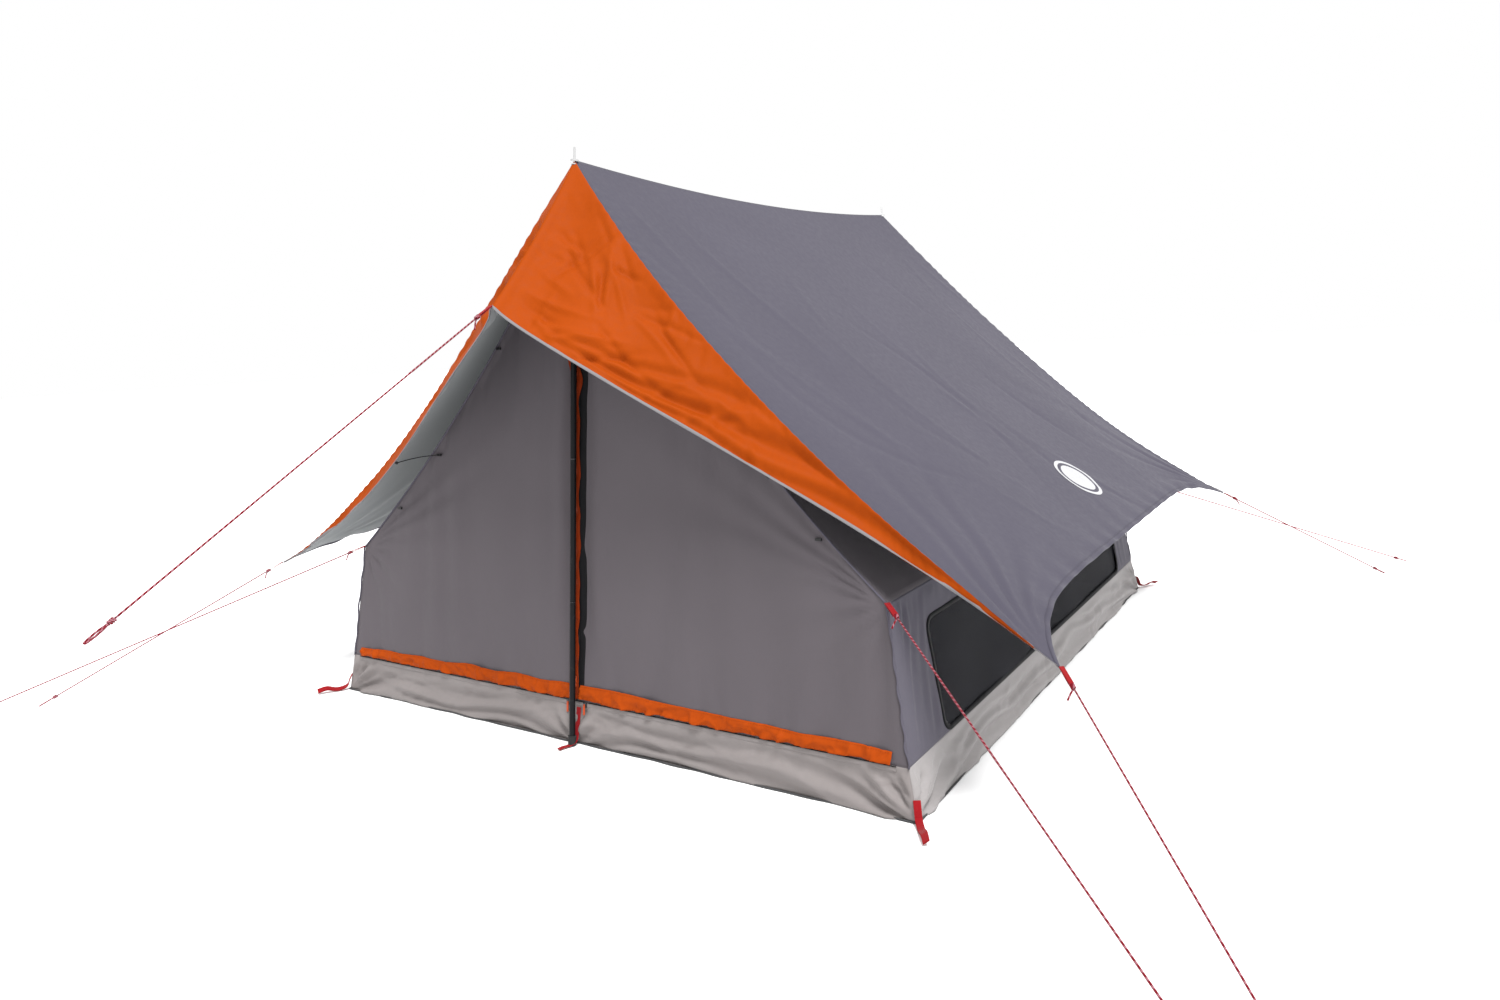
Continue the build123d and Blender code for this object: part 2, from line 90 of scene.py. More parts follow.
# Guy lines: each pair is (degrees outwards, degrees down).
TAB_LENGTH = 0.04
ROPE_RADIUS = 0.002
ELASTIC_RADIUS = 0.0015
KNOT_RADIUS = 0.0055
KNOT_LENGTH = 0.014
EYE_LENGTH = 0.05
EYE_WIDTH = 0.016
CORNER_GUY = (48, 27)
SHOULDER_GUY = (42, 19.5)
BEAK_GUY = (90, 30)
BEAK_GUY_LENGTH = 1.0

HANDS = {"left": -1, "right": 1}
ENDS = {"front": -1, "rear": 1}

POLE_FOOT_Y = -FLOOR_LENGTH / 2 - POLE_OFFSET / cos(LEAN)
PEAK_Y = -(POLE_FOOT_Y + PEAK_HEIGHT * tan(LEAN))
PEAK = np.array([0.0, PEAK_Y, PEAK_HEIGHT])

# What only the looks need.
SLOPE_LENGTH = 1.75
PANEL_WIDTH = 1.1
CLOTH = 0.0008
TUB_CLOTH = 0.001
EDGE_BINDING = 0.0022
SEAM_BLEND = 0.045
KNOT_TURNS = 3.2
WALL_SEED = {-1: 70, 1: 60}
REAR_SEED = 80
STAGE_REACH = 60
STAGE_DROP = -0.001
LAP_POINTS = 56
SLOPE_POINTS = 201
HEM_TO_HEM = 441
SEAM_ROWS = {"a": 0.0025, "b": 0.0075}
SEAM_GAP = 0.003
RIDGE_GAP = 0.004

# The camera, fitted to the photo. Angles are in degrees.
CAMERA_AT = (1.8301, -2.9624, 1.0575)
CAMERA_AZIMUTH = 33.342
CAMERA_ELEVATION = 9.1206
CAMERA_ROLL = -2.9576
CAMERA_LENS = 23.7

# ---- Camera, light and floor
scene = bpy.context.scene
scene.view_settings.view_transform = "Standard"


def make_camera():
    """The camera: low and close, from the front right, turned a little to its left."""
    azimuth, elevation, roll = radians(CAMERA_AZIMUTH), radians(CAMERA_ELEVATION), radians(CAMERA_ROLL)
    back = Vector((sin(azimuth) * cos(elevation), -cos(azimuth) * cos(elevation), sin(elevation)))
    level = Vector((0, 0, 1)).cross(back).normalized()
    upright = back.cross(level)
    across = level * cos(roll) + upright * sin(roll)
    up = upright * cos(roll) - level * sin(roll)
    data = bpy.data.cameras.new("camera")
    data.lens = CAMERA_LENS
    data.sensor_width = 36
    camera = bpy.data.objects.new("camera", data)
    turned = Matrix((across, up, back)).transposed().to_4x4()
    camera.matrix_world = Matrix.Translation(CAMERA_AT) @ turned
    scene.collection.objects.link(camera)
    scene.camera = camera


def make_sun(name, way, spread, strength):
    """Even light that comes from one side, softened by its spread in degrees."""
    data = bpy.data.lights.new(name, "SUN")
    data.energy = strength
    data.angle = radians(spread)
    lamp = bpy.data.objects.new(name, data)
    lamp.rotation_euler = Vector(way).to_track_quat("-Z", "Y").to_euler()
    scene.collection.objects.link(lamp)


def make_stage():
    """A pale floor and an even white sky."""
    world = bpy.data.worlds.new("studio")
    world.use_nodes = True
    sky = world.node_tree.nodes["Background"]
    sky.inputs["Color"].default_value = (1, 1, 1, 1)
    sky.inputs["Strength"].default_value = 1.0
    scene.world = world
    mesh = bpy.data.meshes.new("floor")
    corners = [(x * STAGE_REACH, y * STAGE_REACH, STAGE_DROP) for x, y in ((-1, -1), (1, -1), (1, 1), (-1, 1))]
    mesh.from_pydata(corners, [], [(0, 1, 2, 3)])
    floor = bpy.data.objects.new("floor", mesh)
    material = bpy.data.materials.new("floor_white")
    material.use_nodes = True
    shader = material.node_tree.nodes["Principled BSDF"]
    shader.inputs["Base Color"].default_value = (0.93, 0.93, 0.93, 1)
    shader.inputs["Roughness"].default_value = 0.9
    shader.inputs["Specular IOR Level"].default_value = 0.1
    mesh.materials.append(material)
    scene.collection.objects.link(floor)


make_camera()
make_stage()
make_sun("key", (-0.38, 0.22, -0.92), 24, 4.6)

# ---- Materials


class Nodes:
    """A short way to build a material's node tree."""

    def __init__(self, name):
        self.material = bpy.data.materials.new(name)
        self.material.use_nodes = True
        self.tree = self.material.node_tree
        self.shader = self.tree.nodes["Principled BSDF"]

    def node(self, kind, links=(), **values):
        """A node of this kind, with inputs from links and settings from values."""
        made = self.tree.nodes.new("ShaderNode" + kind)
        for name, value in values.items():
            setattr(made, name, value)
        for socket, source in dict(links).items():
            if isinstance(source, bpy.types.NodeSocket):
                self.tree.links.new(source, made.inputs[socket])
            else:
                made.inputs[socket].default_value = source
        return made

    def math(self, operation, a, b=0.0, c=0.0):
        return self.node("Math", {0: a, 1: b, 2: c}, operation=operation).outputs[0]

    def into(self, socket, source):
        self.tree.links.new(source, self.shader.inputs[socket])

    def noise(self, vector, scale, detail=3.0, distortion=0.0):
        links = {"Vector": vector, "Scale": scale, "Detail": detail, "Distortion": distortion}
        return self.node("TexNoise", links).outputs["Fac"]

    def ramp(self, value, low, high, to_low=0.0, to_high=1.0):
        links = {"Value": value, "From Min": low, "From Max": high, "To Min": to_low, "To Max": to_high}
        return self.node("MapRange", links).outputs["Result"]

    def mix(self, share, first, second, blend="MIX"):
        return self.node("Mix", {0: share, 6: first, 7: second}, data_type="RGBA", blend_type=blend).outputs[2]

    def place(self):
        """Where each point is in the object's own space."""
        return self.node("TexCoord").outputs["Object"]

    def cloth(self):
        """The two ways along the cloth, in metres, from its UVs."""
        split = self.node("SeparateXYZ", {0: self.node("UVMap", uv_map="cloth").outputs["UV"]})
        return split.outputs[0], split.outputs[1]

    def threads(self, pitch):
        """Crossed threads this far apart, from -1 to 1."""
        ways = [self.math("SINE", self.math("MULTIPLY", way, 2 * pi / pitch)) for way in self.cloth()]
        return self.math("MULTIPLY", *ways)

    def put(self, values):
        """Sets inputs that are the same all over the surface."""
        for socket, value in values.items():
            self.shader.inputs[socket].default_value = value

    def emboss(self, strength, distance, height, under=None):
        """Bump from a height, over another bump if one is given."""
        links = {"Strength": strength, "Distance": distance, "Height": height}
        if under is not None:
            links["Normal"] = under
        return self.node("Bump", links).outputs[0]


def rgba(colour, factor=1.0):
    return (*[min(1.0, c * factor) for c in colour], 1.0)


def fabric(
    name, colour, rough=0.6, sheen=0.04, thread=0.0006, weave=0.25, crinkle=0.5, mottle=0.10, shine=0.12, glow=0.0,
):
    """Woven polyester: threads both ways, faint mottling, and fine crinkles."""
    n = Nodes(name)
    place = n.place()
    threads = n.threads(thread)
    large = n.noise(place, 2.5, 4.0, 0.4)
    small = n.noise(place, 60.0, 3.0)
    shade = n.math("ADD", n.math("MULTIPLY", large, 0.7), n.math("MULTIPLY", small, 0.3))
    tint = n.mix(n.ramp(shade, 0.3, 0.7), rgba(colour, 1 - mottle), rgba(colour, 1 + mottle))
    # Painted shade: the cloth is shaded a little where the crossed threads sink, in step with their bump.
    groove_shaded = n.mix(n.ramp(threads, -1.0, 1.0), rgba((0.88,) * 3), rgba((1.0,) * 3))
    n.into("Base Color", n.mix(weave, tint, groove_shaded, "MULTIPLY"))
    n.into("Roughness", n.ramp(small, 0.3, 0.7, rough - 0.06, rough + 0.06))
    n.put({
        "Sheen Weight": sheen, "Sheen Roughness": 0.4, "Specular IOR Level": shine,
        "Emission Color": rgba(colour), "Emission Strength": glow,
    })
    crumpled = n.emboss(crinkle, 0.002, n.noise(place, 22.0, 4.0, 0.8))
    n.into("Normal", n.emboss(weave, 0.00004, threads, crumpled))
    return n.material


def webbing(name, colour):
    """Flat woven tape with a herringbone along it: UV x runs across, y along."""
    n = Nodes(name)
    across, along = n.cloth()
    zig = n.math("MULTIPLY", n.math("SINE", n.math("MULTIPLY", across, 2 * pi / 0.004)), 1.6)
    rib = n.math("SINE", n.math("ADD", n.math("MULTIPLY", along, 2 * pi / 0.0016), zig))
    # Painted shade and light: the tape's colour follows the rib's bump, shaded in its grooves and lighter on its
    # ribs.
    n.into("Base Color", n.mix(n.ramp(rib, -1.0, 1.0), rgba(colour, 0.72), rgba(colour, 1.12)))
    n.into("Roughness", n.ramp(n.noise(n.place(), 300.0), 0.3, 0.7, 0.55, 0.75))
    n.put({"Sheen Weight": 0.08, "Specular IOR Level": 0.1})
    n.into("Normal", n.emboss(0.5, 0.0003, rib))
    return n.material


def braid(name, colour, fleck, pitch=0.013):
    """Round braided cord with pale flecks: UV x goes once round, y runs along in metres."""
    n = Nodes(name)
    around, metres = n.cloth()
    along = n.math("DIVIDE", metres, pitch)
    pale = n.math("LESS_THAN", n.math("FRACT", n.math("ADD", along, around)), 0.38)
    both = [n.math("MULTIPLY", way, 8 * pi) for way in (along, around)]
    plait = n.math("MAXIMUM", *[n.math("SINE", n.math(lean, *both)) for lean in ("ADD", "SUBTRACT")])
    # Painted shade and light: the cord's colour follows the plait's bump, shaded in the grooves between strands and
    # lighter on their crests. The pale flecks are the cord's own colour.
    groove_shaded = n.mix(n.ramp(plait, -0.5, 1.0), rgba(colour, 0.55), rgba(colour, 1.2))
    n.into("Base Color", n.mix(pale, groove_shaded, rgba(fleck)))
    n.into("Roughness", n.ramp(plait, -1.0, 1.0, 0.8, 0.6))
    n.put({"Sheen Weight": 0.05, "Specular IOR Level": 0.1})
    n.into("Normal", n.emboss(0.6, 0.0004, plait))
    return n.material


def solid(name, colour, rough, metallic=0.0, shine=0.3, wear=0.0):
    """Moulded, painted or machined material with fine grain and slight wear."""
    n = Nodes(name)
    place = n.place()
    fine = n.noise(place, 400.0, 4.0)
    worn = n.ramp(n.noise(place, 35.0, 6.0, 1.5), 0.62, 0.75, 0.0, wear)
    pale = tuple(c * 0.5 + 0.12 for c in colour)
    n.into("Base Color", n.mix(worn, rgba(colour), rgba(pale)))
    grained = n.ramp(fine, 0.3, 0.7, rough - 0.05, rough + 0.08)
    n.into("Roughness", n.math("ADD", grained, n.math("MULTIPLY", worn, 0.3)))
    n.put({"Metallic": metallic, "Specular IOR Level": shine})
    n.into("Normal", n.emboss(0.15, 0.0003, fine))
    return n.material


def netting(name, colour):
    """Fine window mesh that lets a little of what is behind it show."""
    n = Nodes(name)
    holes = n.threads(0.0012)
    n.into("Base Color", n.mix(n.ramp(n.noise(n.place(), 6.0, 3.0), 0.3, 0.7), rgba(colour, 0.8), rgba(colour, 1.3)))
    n.into("Roughness", n.ramp(holes, -1.0, 1.0, 0.6, 0.8))
    n.put({"Alpha": 0.86, "Specular IOR Level": 0.08})
    n.into("Normal", n.emboss(0.3, 0.0002, holes))
    return n.material


FLY_GREY = fabric("fly_grey", (0.056, 0.052, 0.071), rough=0.5, crinkle=0.12, mottle=0.04)
FLY_ORANGE = fabric("fly_orange", (0.275, 0.042, 0.002), sheen=0.0, shine=0.04, crinkle=0.45, mottle=0.08)
# The lining's glow is painted light, standing for daylight through the cloth. Its light grey is partly the lining's
# own silvery coating and partly painted light that lifts the shade under the fly.
LINING = fabric("fly_lining", (0.25, 0.262, 0.268), glow=0.16, crinkle=0.2, mottle=0.05)
INNER_GREY = fabric("inner_grey", (0.085, 0.075, 0.083), rough=0.7, sheen=0.05, crinkle=0.25, mottle=0.05)
SIDE_GREY = fabric("side_grey", (0.078, 0.072, 0.092), rough=0.7, sheen=0.05, crinkle=0.35, mottle=0.06)
TUB_GREY = fabric("tub_grey", (0.19, 0.172, 0.168), rough=0.5, sheen=0.05, crinkle=0.4, mottle=0.08)
# The photo's light is stronger on the tub's side walls than this scene's, so their grey is lighter.
TUB_SIDE_GREY = fabric("tub_side_grey", (0.26, 0.245, 0.243), rough=0.5, sheen=0.05, crinkle=0.4, mottle=0.08)
TUB_UNDER = fabric("tub_under", (0.05, 0.05, 0.052), crinkle=0.3)
ZIP_ORANGE = fabric("zip_orange", (0.17, 0.020, 0.003), sheen=0.0, crinkle=0.8, mottle=0.2, shine=0.05)
FLAP_ORANGE = fabric("flap_orange", (0.29, 0.042, 0.003), sheen=0.0, shine=0.04, crinkle=0.8, mottle=0.12)
BINDING = fabric("binding_grey", (0.17, 0.163, 0.17), rough=0.7, sheen=0.05, crinkle=0.2)
BLACK_TAPE = fabric("tape_black", (0.006, 0.006, 0.007), rough=0.75, crinkle=0.3, weave=0.5, thread=0.001)
THREAD_GREY = fabric("thread_grey", (0.075, 0.070, 0.090), rough=0.8, crinkle=0.1)
THREAD_ORANGE = fabric("thread_orange", (0.25, 0.035, 0.005), rough=0.8, crinkle=0.1)
MESH_BLACK = netting("mesh_black", (0.010, 0.010, 0.013))
BADGE_WHITE = fabric("badge_white", (0.42, 0.42, 0.43), crinkle=0.1, thread=0.0009)
RED_WEBBING = webbing("webbing_red", (0.25, 0.003, 0.006))
BLACK_WEBBING = webbing("webbing_black", (0.02, 0.02, 0.02))
RED_ROPE = braid("rope_red", (0.16, 0.001, 0.008), (0.30, 0.115, 0.14))
ELASTIC = braid("elastic_black", (0.012, 0.012, 0.012), (0.03, 0.03, 0.03), pitch=0.004)
POLE_BLACK = solid("pole_black", (0.006, 0.006, 0.007), 0.35, shine=0.12, wear=0.12)
STEEL = solid("spike_steel", (0.62, 0.62, 0.62), 0.32, metallic=0.9)
ALLOY = solid("ferrule_alloy", (0.55, 0.55, 0.57), 0.35, metallic=0.9)
RUBBER = solid("foot_rubber", (0.015, 0.015, 0.015), 0.75, wear=0.5)
SLIDER_METAL = solid("slider_metal", (0.06, 0.06, 0.065), 0.4, metallic=0.8, wear=0.6)
PULL_ORANGE = solid("pull_orange", (0.42, 0.05, 0.005), 0.5)
TOGGLE_BLACK = solid("toggle_black", (0.015, 0.015, 0.016), 0.45)

# ---- Mesh helpers: heights, wavelengths and reaches of folds are in metres


def unit(v):
    """v at length 1, along its last axis."""
    return v / np.maximum(np.linalg.norm(v, axis=-1, keepdims=True), 1e-9)


def ease(x, start, end):
    """0 before start, 1 after end, and a smooth step between them."""
    t = np.clip((x - start) / (end - start), 0, 1)
    return t * t * (3 - 2 * t)


def grid(rows, columns):
    """Two even scales, each (start, end, count), crossed into a grid."""
    return np.meshgrid(np.linspace(*rows), np.linspace(*columns), indexing="ij")


def bow(v):
    """0 at both ends of a stretch and 1 in its middle."""
    return 4 * v * (1 - v)


def waves(p, seed, length, count=14):
    """Smooth noise from about -1 to 1: plane waves of about this length in random directions."""
    rng = np.random.default_rng(seed)
    ways = unit(rng.normal(size=(count, p.shape[-1])))
    rates = 2 * pi / length * rng.uniform(0.6, 1.5, count)
    phases = rng.uniform(0, 2 * pi, count)
    return np.sin(p @ (ways * rates[:, None]).T + phases).sum(-1) / sqrt(count)


def creases(p, seed, length, sharp=0.22):
    """Narrow raised lines that wander, as in cloth that was crumpled."""
    return np.exp(-((waves(p, seed, length) / sharp) ** 2))


def straight_creases(along, across, seed, count, reach, length, width, lean):
    """Short straight creases, raised or sunk by up to 1, at random places within reach.

    reach holds the two (lowest, highest) ranges, length is a range, and lean is (mean, spread) in radians.
    """
    rng = np.random.default_rng(seed)
    total = np.zeros_like(along)
    for _ in range(count):
        a = along - rng.uniform(*reach[0])
        b = across - rng.uniform(*reach[1])
        turn = rng.normal(*lean)
        span = rng.uniform(*length)
        lengthways = a * cos(turn) + b * sin(turn)
        sideways = b * cos(turn) - a * sin(turn) + rng.uniform(-0.8, 0.8) * lengthways**2
        height = rng.uniform(0.5, 1.0) * rng.choice((-1, 1))
        total = total + height * np.exp(-((sideways / width) ** 2) - (lengthways / span) ** 4)
    return total


def normals_of(points):
    """Unit normals of a grid of points, one at each."""
    a, b = np.gradient(points, axis=0), np.gradient(points, axis=1)
    n = np.cross(a, b)
    size = np.linalg.norm(n, axis=-1, keepdims=True)
    n = n / np.maximum(size, 1e-12)
    flat = size[..., 0] < 1e-9
    n[flat] = n[~flat].mean(0) if (~flat).any() else (0, 0, 1)
    return unit(n)


def new_object(name, points, faces, materials, cloth=None, face_materials=None):
    """A smooth-shaded mesh object from points and faces, with cloth coordinates in metres as its UVs."""
    mesh = bpy.data.meshes.new(name)
    mesh.from_pydata(np.asarray(points).reshape(-1, 3).tolist(), [], faces)
    for material in materials:
        mesh.materials.append(material)
    mesh.polygons.foreach_set("use_smooth", [True] * len(mesh.polygons))
    if face_materials is not None:
        mesh.polygons.foreach_set("material_index", face_materials)
    if cloth is not None:
        layer = mesh.uv_layers.new(name="cloth")
        corners = np.zeros(len(mesh.loops), int)
        mesh.loops.foreach_get("vertex_index", corners)
        layer.data.foreach_set("uv", np.asarray(cloth, float).reshape(-1, 2)[corners].ravel())
    made = bpy.data.objects.new(name, mesh)
    scene.collection.objects.link(made)
    return made


def apply_modifiers(made):
    """Bakes the object's modifiers into its mesh."""
    depsgraph = bpy.context.evaluated_depsgraph_get()
    mesh = bpy.data.meshes.new_from_object(made.evaluated_get(depsgraph), depsgraph=depsgraph)
    made.modifiers.clear()
    made.data = mesh


def thicken(made, thickness, lining_offset):
    """Gives a sheet its thickness, inwards, with the lining's material on the inside."""
    solidify = made.modifiers.new("thickness", "SOLIDIFY")
    solidify.thickness = thickness
    solidify.offset = -1
    solidify.material_offset = lining_offset
    apply_modifiers(made)


def cloth_sheet(name, points, materials, cloth, toward, thickness=CLOTH, kept=None, kinds=None, lining_offset=0):
    """A sheet of cloth through a grid of points. Its face looks toward the given direction."""
    rows, columns = points.shape[:2]
    index = np.arange(rows * columns).reshape(rows, columns)
    quads = np.stack([index[:-1, :-1], index[1:, :-1], index[1:, 1:], index[:-1, 1:]], -1).reshape(-1, 4)
    flat = points.reshape(-1, 3)
    facing = np.cross(flat[quads[:, 2]] - flat[quads[:, 0]], flat[quads[:, 3]] - flat[quads[:, 1]]).mean(0)
    if facing @ np.array(toward) < 0:
        quads = quads[:, ::-1]
    keep = np.ones(len(quads), bool) if kept is None else kept.reshape(-1)
    kinds = None if kinds is None else kinds.reshape(-1)[keep].astype(int).tolist()
    made = new_object(name, points, quads[keep].tolist(), materials, cloth, kinds)
    work = bmesh.new()
    work.from_mesh(made.data)
    bmesh.ops.remove_doubles(work, verts=work.verts, dist=1e-5)
    loose = [v for v in work.verts if not v.link_faces]
    bmesh.ops.delete(work, geom=loose, context="VERTS")
    work.to_mesh(made.data)
    work.free()
    thicken(made, thickness, lining_offset)
    return made


def frames_along(path, across=None):
    """Tangents and two cross directions along a path; across fixes the first of them if given."""
    path = np.asarray(path, float)
    tangent = unit(np.gradient(path, axis=0))
    if across is None:
        guess = np.array([0.0, 0.0, 1.0]) if abs(tangent[0][2]) < 0.9 else np.array([1.0, 0.0, 0.0])
        side = [unit(np.cross(tangent[0], guess))]
        for t in tangent[1:]:
            side.append(unit(side[-1] - t * (side[-1] @ t)))
        side = np.array(side)
    else:
        side = np.broadcast_to(np.asarray(across, float), path.shape)
        side = unit(side - tangent * (side * tangent).sum(-1, keepdims=True))
    return tangent, side, np.cross(tangent, side)


def run_along(path):
    """How far along a path each of its points is."""
    return np.concatenate([[0], np.cumsum(np.linalg.norm(np.diff(path, axis=0), axis=1))])


def tube_faces(count, around, closed=False):
    """Faces of a tube of count rings, with a cap at each end unless it closes on itself."""
    faces = []
    for i in range(count if closed else count - 1):
        low, high = i * around, (i + 1) % count * around
        for j in range(around):
            k = (j + 1) % around
            faces.append((low + j, low + k, high + k, high + j))
    if not closed:
        faces.append(tuple(range(around))[::-1])
        faces.append(tuple((count - 1) * around + j for j in range(around)))
    return faces


def sweep(name, path, section, material, across=None, closed=False):
    """A closed section, (side, up) points, carried along a path. UV y is metres along."""
    path = np.asarray(path, float)
    if closed:
        padded = np.vstack([path[-1:], path, path[:1]])
        tangent, side, up = (f[1:-1] for f in frames_along(padded, across))
    else:
        tangent, side, up = frames_along(path, across)
    section = np.asarray(section, float)
    count, around = len(path), len(section)
    points = path[:, None] + side[:, None] * section[None, :, :1] + up[:, None] * section[None, :, 1:]
    girth = np.linspace(0, 1, around, endpoint=False)
    cloth = np.stack(np.broadcast_arrays(girth[None, :], run_along(path)[:, None]), -1)
    return new_object(name, points, tube_faces(count, around, closed), [material], cloth)


def tube(name, path, section, material, body="tent", **shape):
    """A sweep that rides on a body."""
    made = sweep(name, path, section, material, **shape)
    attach(made, body)
    return made


def ring(radius, sides=8, squeeze=1.0):
    """A round section."""
    turns = np.linspace(0, 2 * pi, sides, endpoint=False)
    return np.stack([radius * np.cos(turns), radius * squeeze * np.sin(turns)], -1)


def flat_section(width, thickness, cells=6):
    """A flat strap's section, with points across its width for the weave."""
    across = np.linspace(-width / 2, width / 2, cells)
    top = [(x, thickness / 2) for x in across]
    return np.array(top + [(x, -thickness / 2) for x in across[::-1]])


def strap(name, path, width, thickness, across):
    """A flat webbing strap along a path, on the tent, with UVs in metres across and along."""
    made = sweep(name, path, flat_section(width, thickness), RED_WEBBING, across)
    layer = made.data.uv_layers["cloth"]
    values = np.zeros(len(layer.data) * 2)
    layer.data.foreach_get("uv", values)
    values[0::2] *= 2 * width
    layer.data.foreach_set("uv", values)
    bevel = made.modifiers.new("soft_edges", "BEVEL")
    bevel.width = thickness * 0.3
    bevel.segments = 2
    bevel.limit_method = "ANGLE"
    apply_modifiers(made)
    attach(made, "tent")
    return made


def smooth_path(points, steps):
    """Points along a smooth curve through the given ones."""
    points = np.asarray(points, float)
    last = len(points) - 1
    out = []
    for i in range(last):
        a, b, c, d = (points[min(max(k, 0), last)] for k in range(i - 1, i + 3))
        for t in np.linspace(0, 1, steps, endpoint=False):
            out.append(
                0.5 * (2 * b + (c - a) * t + (2 * a - 5 * b + 4 * c - d) * t**2 + (3 * b - a - 3 * c + d) * t**3)
            )
    out.append(points[-1])
    return np.array(out)


def stitches(name, path, normal, material=THREAD_GREY, body="tent", pitch=0.006, length=0.004, radius=0.0006):
    """A row of stitches that lie along a path, half sunk into the cloth."""
    path = np.asarray(path, float)
    normal = np.broadcast_to(np.asarray(normal, float), path.shape)
    run = run_along(path)
    marks = np.arange(pitch, run[-1] - pitch, pitch)

    def at(distance, values):
        return np.stack([np.interp(distance, run, values[:, k]) for k in range(3)], -1)

    start, end = at(marks, path), at(marks + length, path)
    out = unit(at(marks, normal))
    side = unit(np.cross(end - start, out)) * radius
    high = out * radius
    middle = (start + end) / 2
    corners = np.stack([start, middle + side, end, middle - side, middle + high], 1)
    faces = [
        (5 * i + j, 5 * i + (j + 1) % 4, 5 * i + 4) for i in range(len(marks)) for j in range(4)
    ]
    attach(new_object(name, corners, faces, [material], np.zeros((len(marks) * 5, 2))), body)


def edge_tape(name, edge, inward, normal, width, material):
    """Binding folded over the edge of a sheet."""
    edge = np.asarray(edge, float)
    inward, normal = unit(inward), unit(normal)
    half = EDGE_BINDING / 2
    rail = [
        edge + inward * width + normal * half,
        edge + inward * width * 0.5 + normal * (half + 0.0006),
        edge + normal * half,
        edge - inward * half * 0.9,
        edge - normal * half,
        edge + inward * width * 0.5 - normal * (half + 0.0006),
        edge + inward * width - normal * half,
    ]
    points = np.stack(rail, 1)
    fold = np.linspace(0, 2 * width, len(rail))
    cloth = np.stack(np.broadcast_arrays(fold[None, :], run_along(edge)[:, None]), -1)
    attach(new_object(name, points, tube_faces(*points.shape[:2]), [material], cloth), "tent")


def mount(piece, body, slot, *stands_for):
    """Puts a piece on its body, in place of the CAD nodes that it stands for. The slot is not used."""
    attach(piece, body)
    if stands_for:
        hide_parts(*stands_for)


# ---- Flysheet


def seam_line(v):
    """The rear seam between grey and orange on the right, from the peak (0) to the corner (1)."""
    v = np.asarray(v, float)
    straight = PEAK + (FLY_CORNER - PEAK) * v[..., None]
    lift = np.zeros_like(straight)
    lift[..., 1] = (SEAM_BULGE + SEAM_SHOULDER * (1 - 2 * v)) * bow(v)
    lift[..., 2] = -SEAM_DIP * bow(v)
    return straight + lift


def edge_line(v):
    """The orange panel's free edge on the right at the rear, from the beak's tip to the corner."""
    v = np.asarray(v, float)
    straight = BEAK_TIP + (FLY_CORNER - BEAK_TIP) * v[..., None]
    tuck = np.zeros_like(straight)
    tuck[..., 1] = EDGE_TUCK[0] * (1 + EDGE_SKEW * (2 * v - 1)) * bow(v)
    tuck[..., 2] = EDGE_TUCK[1] * bow(v)
    return straight + tuck


def fly_base(u, w, v):
    """The fly's smooth shape on the right: u from front (-1) to rear (1), w past the seams, v down."""
    end = seam_line(v)
    ridge_z = PEAK_HEIGHT - RIDGE_DIP
    hem_x = FLY_CORNER[0] - HEM_TUCK
    hem_z = FLY_CORNER[2] + HEM_RISE
    middle_x = hem_x * v
    middle_z = ridge_z + (hem_z - ridge_z) * v - SLOPE_DIP * bow(v)
    sway = 1 - np.abs(u) ** (2 + (HEM_POWER - 2) * v)
    x = end[..., 0] + (middle_x - end[..., 0]) * sway
    z = end[..., 2] + (middle_z - end[..., 2]) * sway
    grey = np.stack([x, u * end[..., 1], z], -1)
    edge = edge_line(v)
    orange = end + (edge - end) * w[..., None]
    orange[..., 2] -= BEAK_DIP * bow(w) * (1 - v)
    orange[..., 1] *= np.sign(u)
    return np.where((w > 0)[..., None], orange, grey)


# The orange panel's folds from the beak's tip: (angle, spread) in radians and depth in metres.
BEAK_FOLDS = ((0.02, 0.020, 0.009), (0.085, 0.026, 0.017), (0.165, 0.036, 0.023), (0.27, 0.035, 0.012))


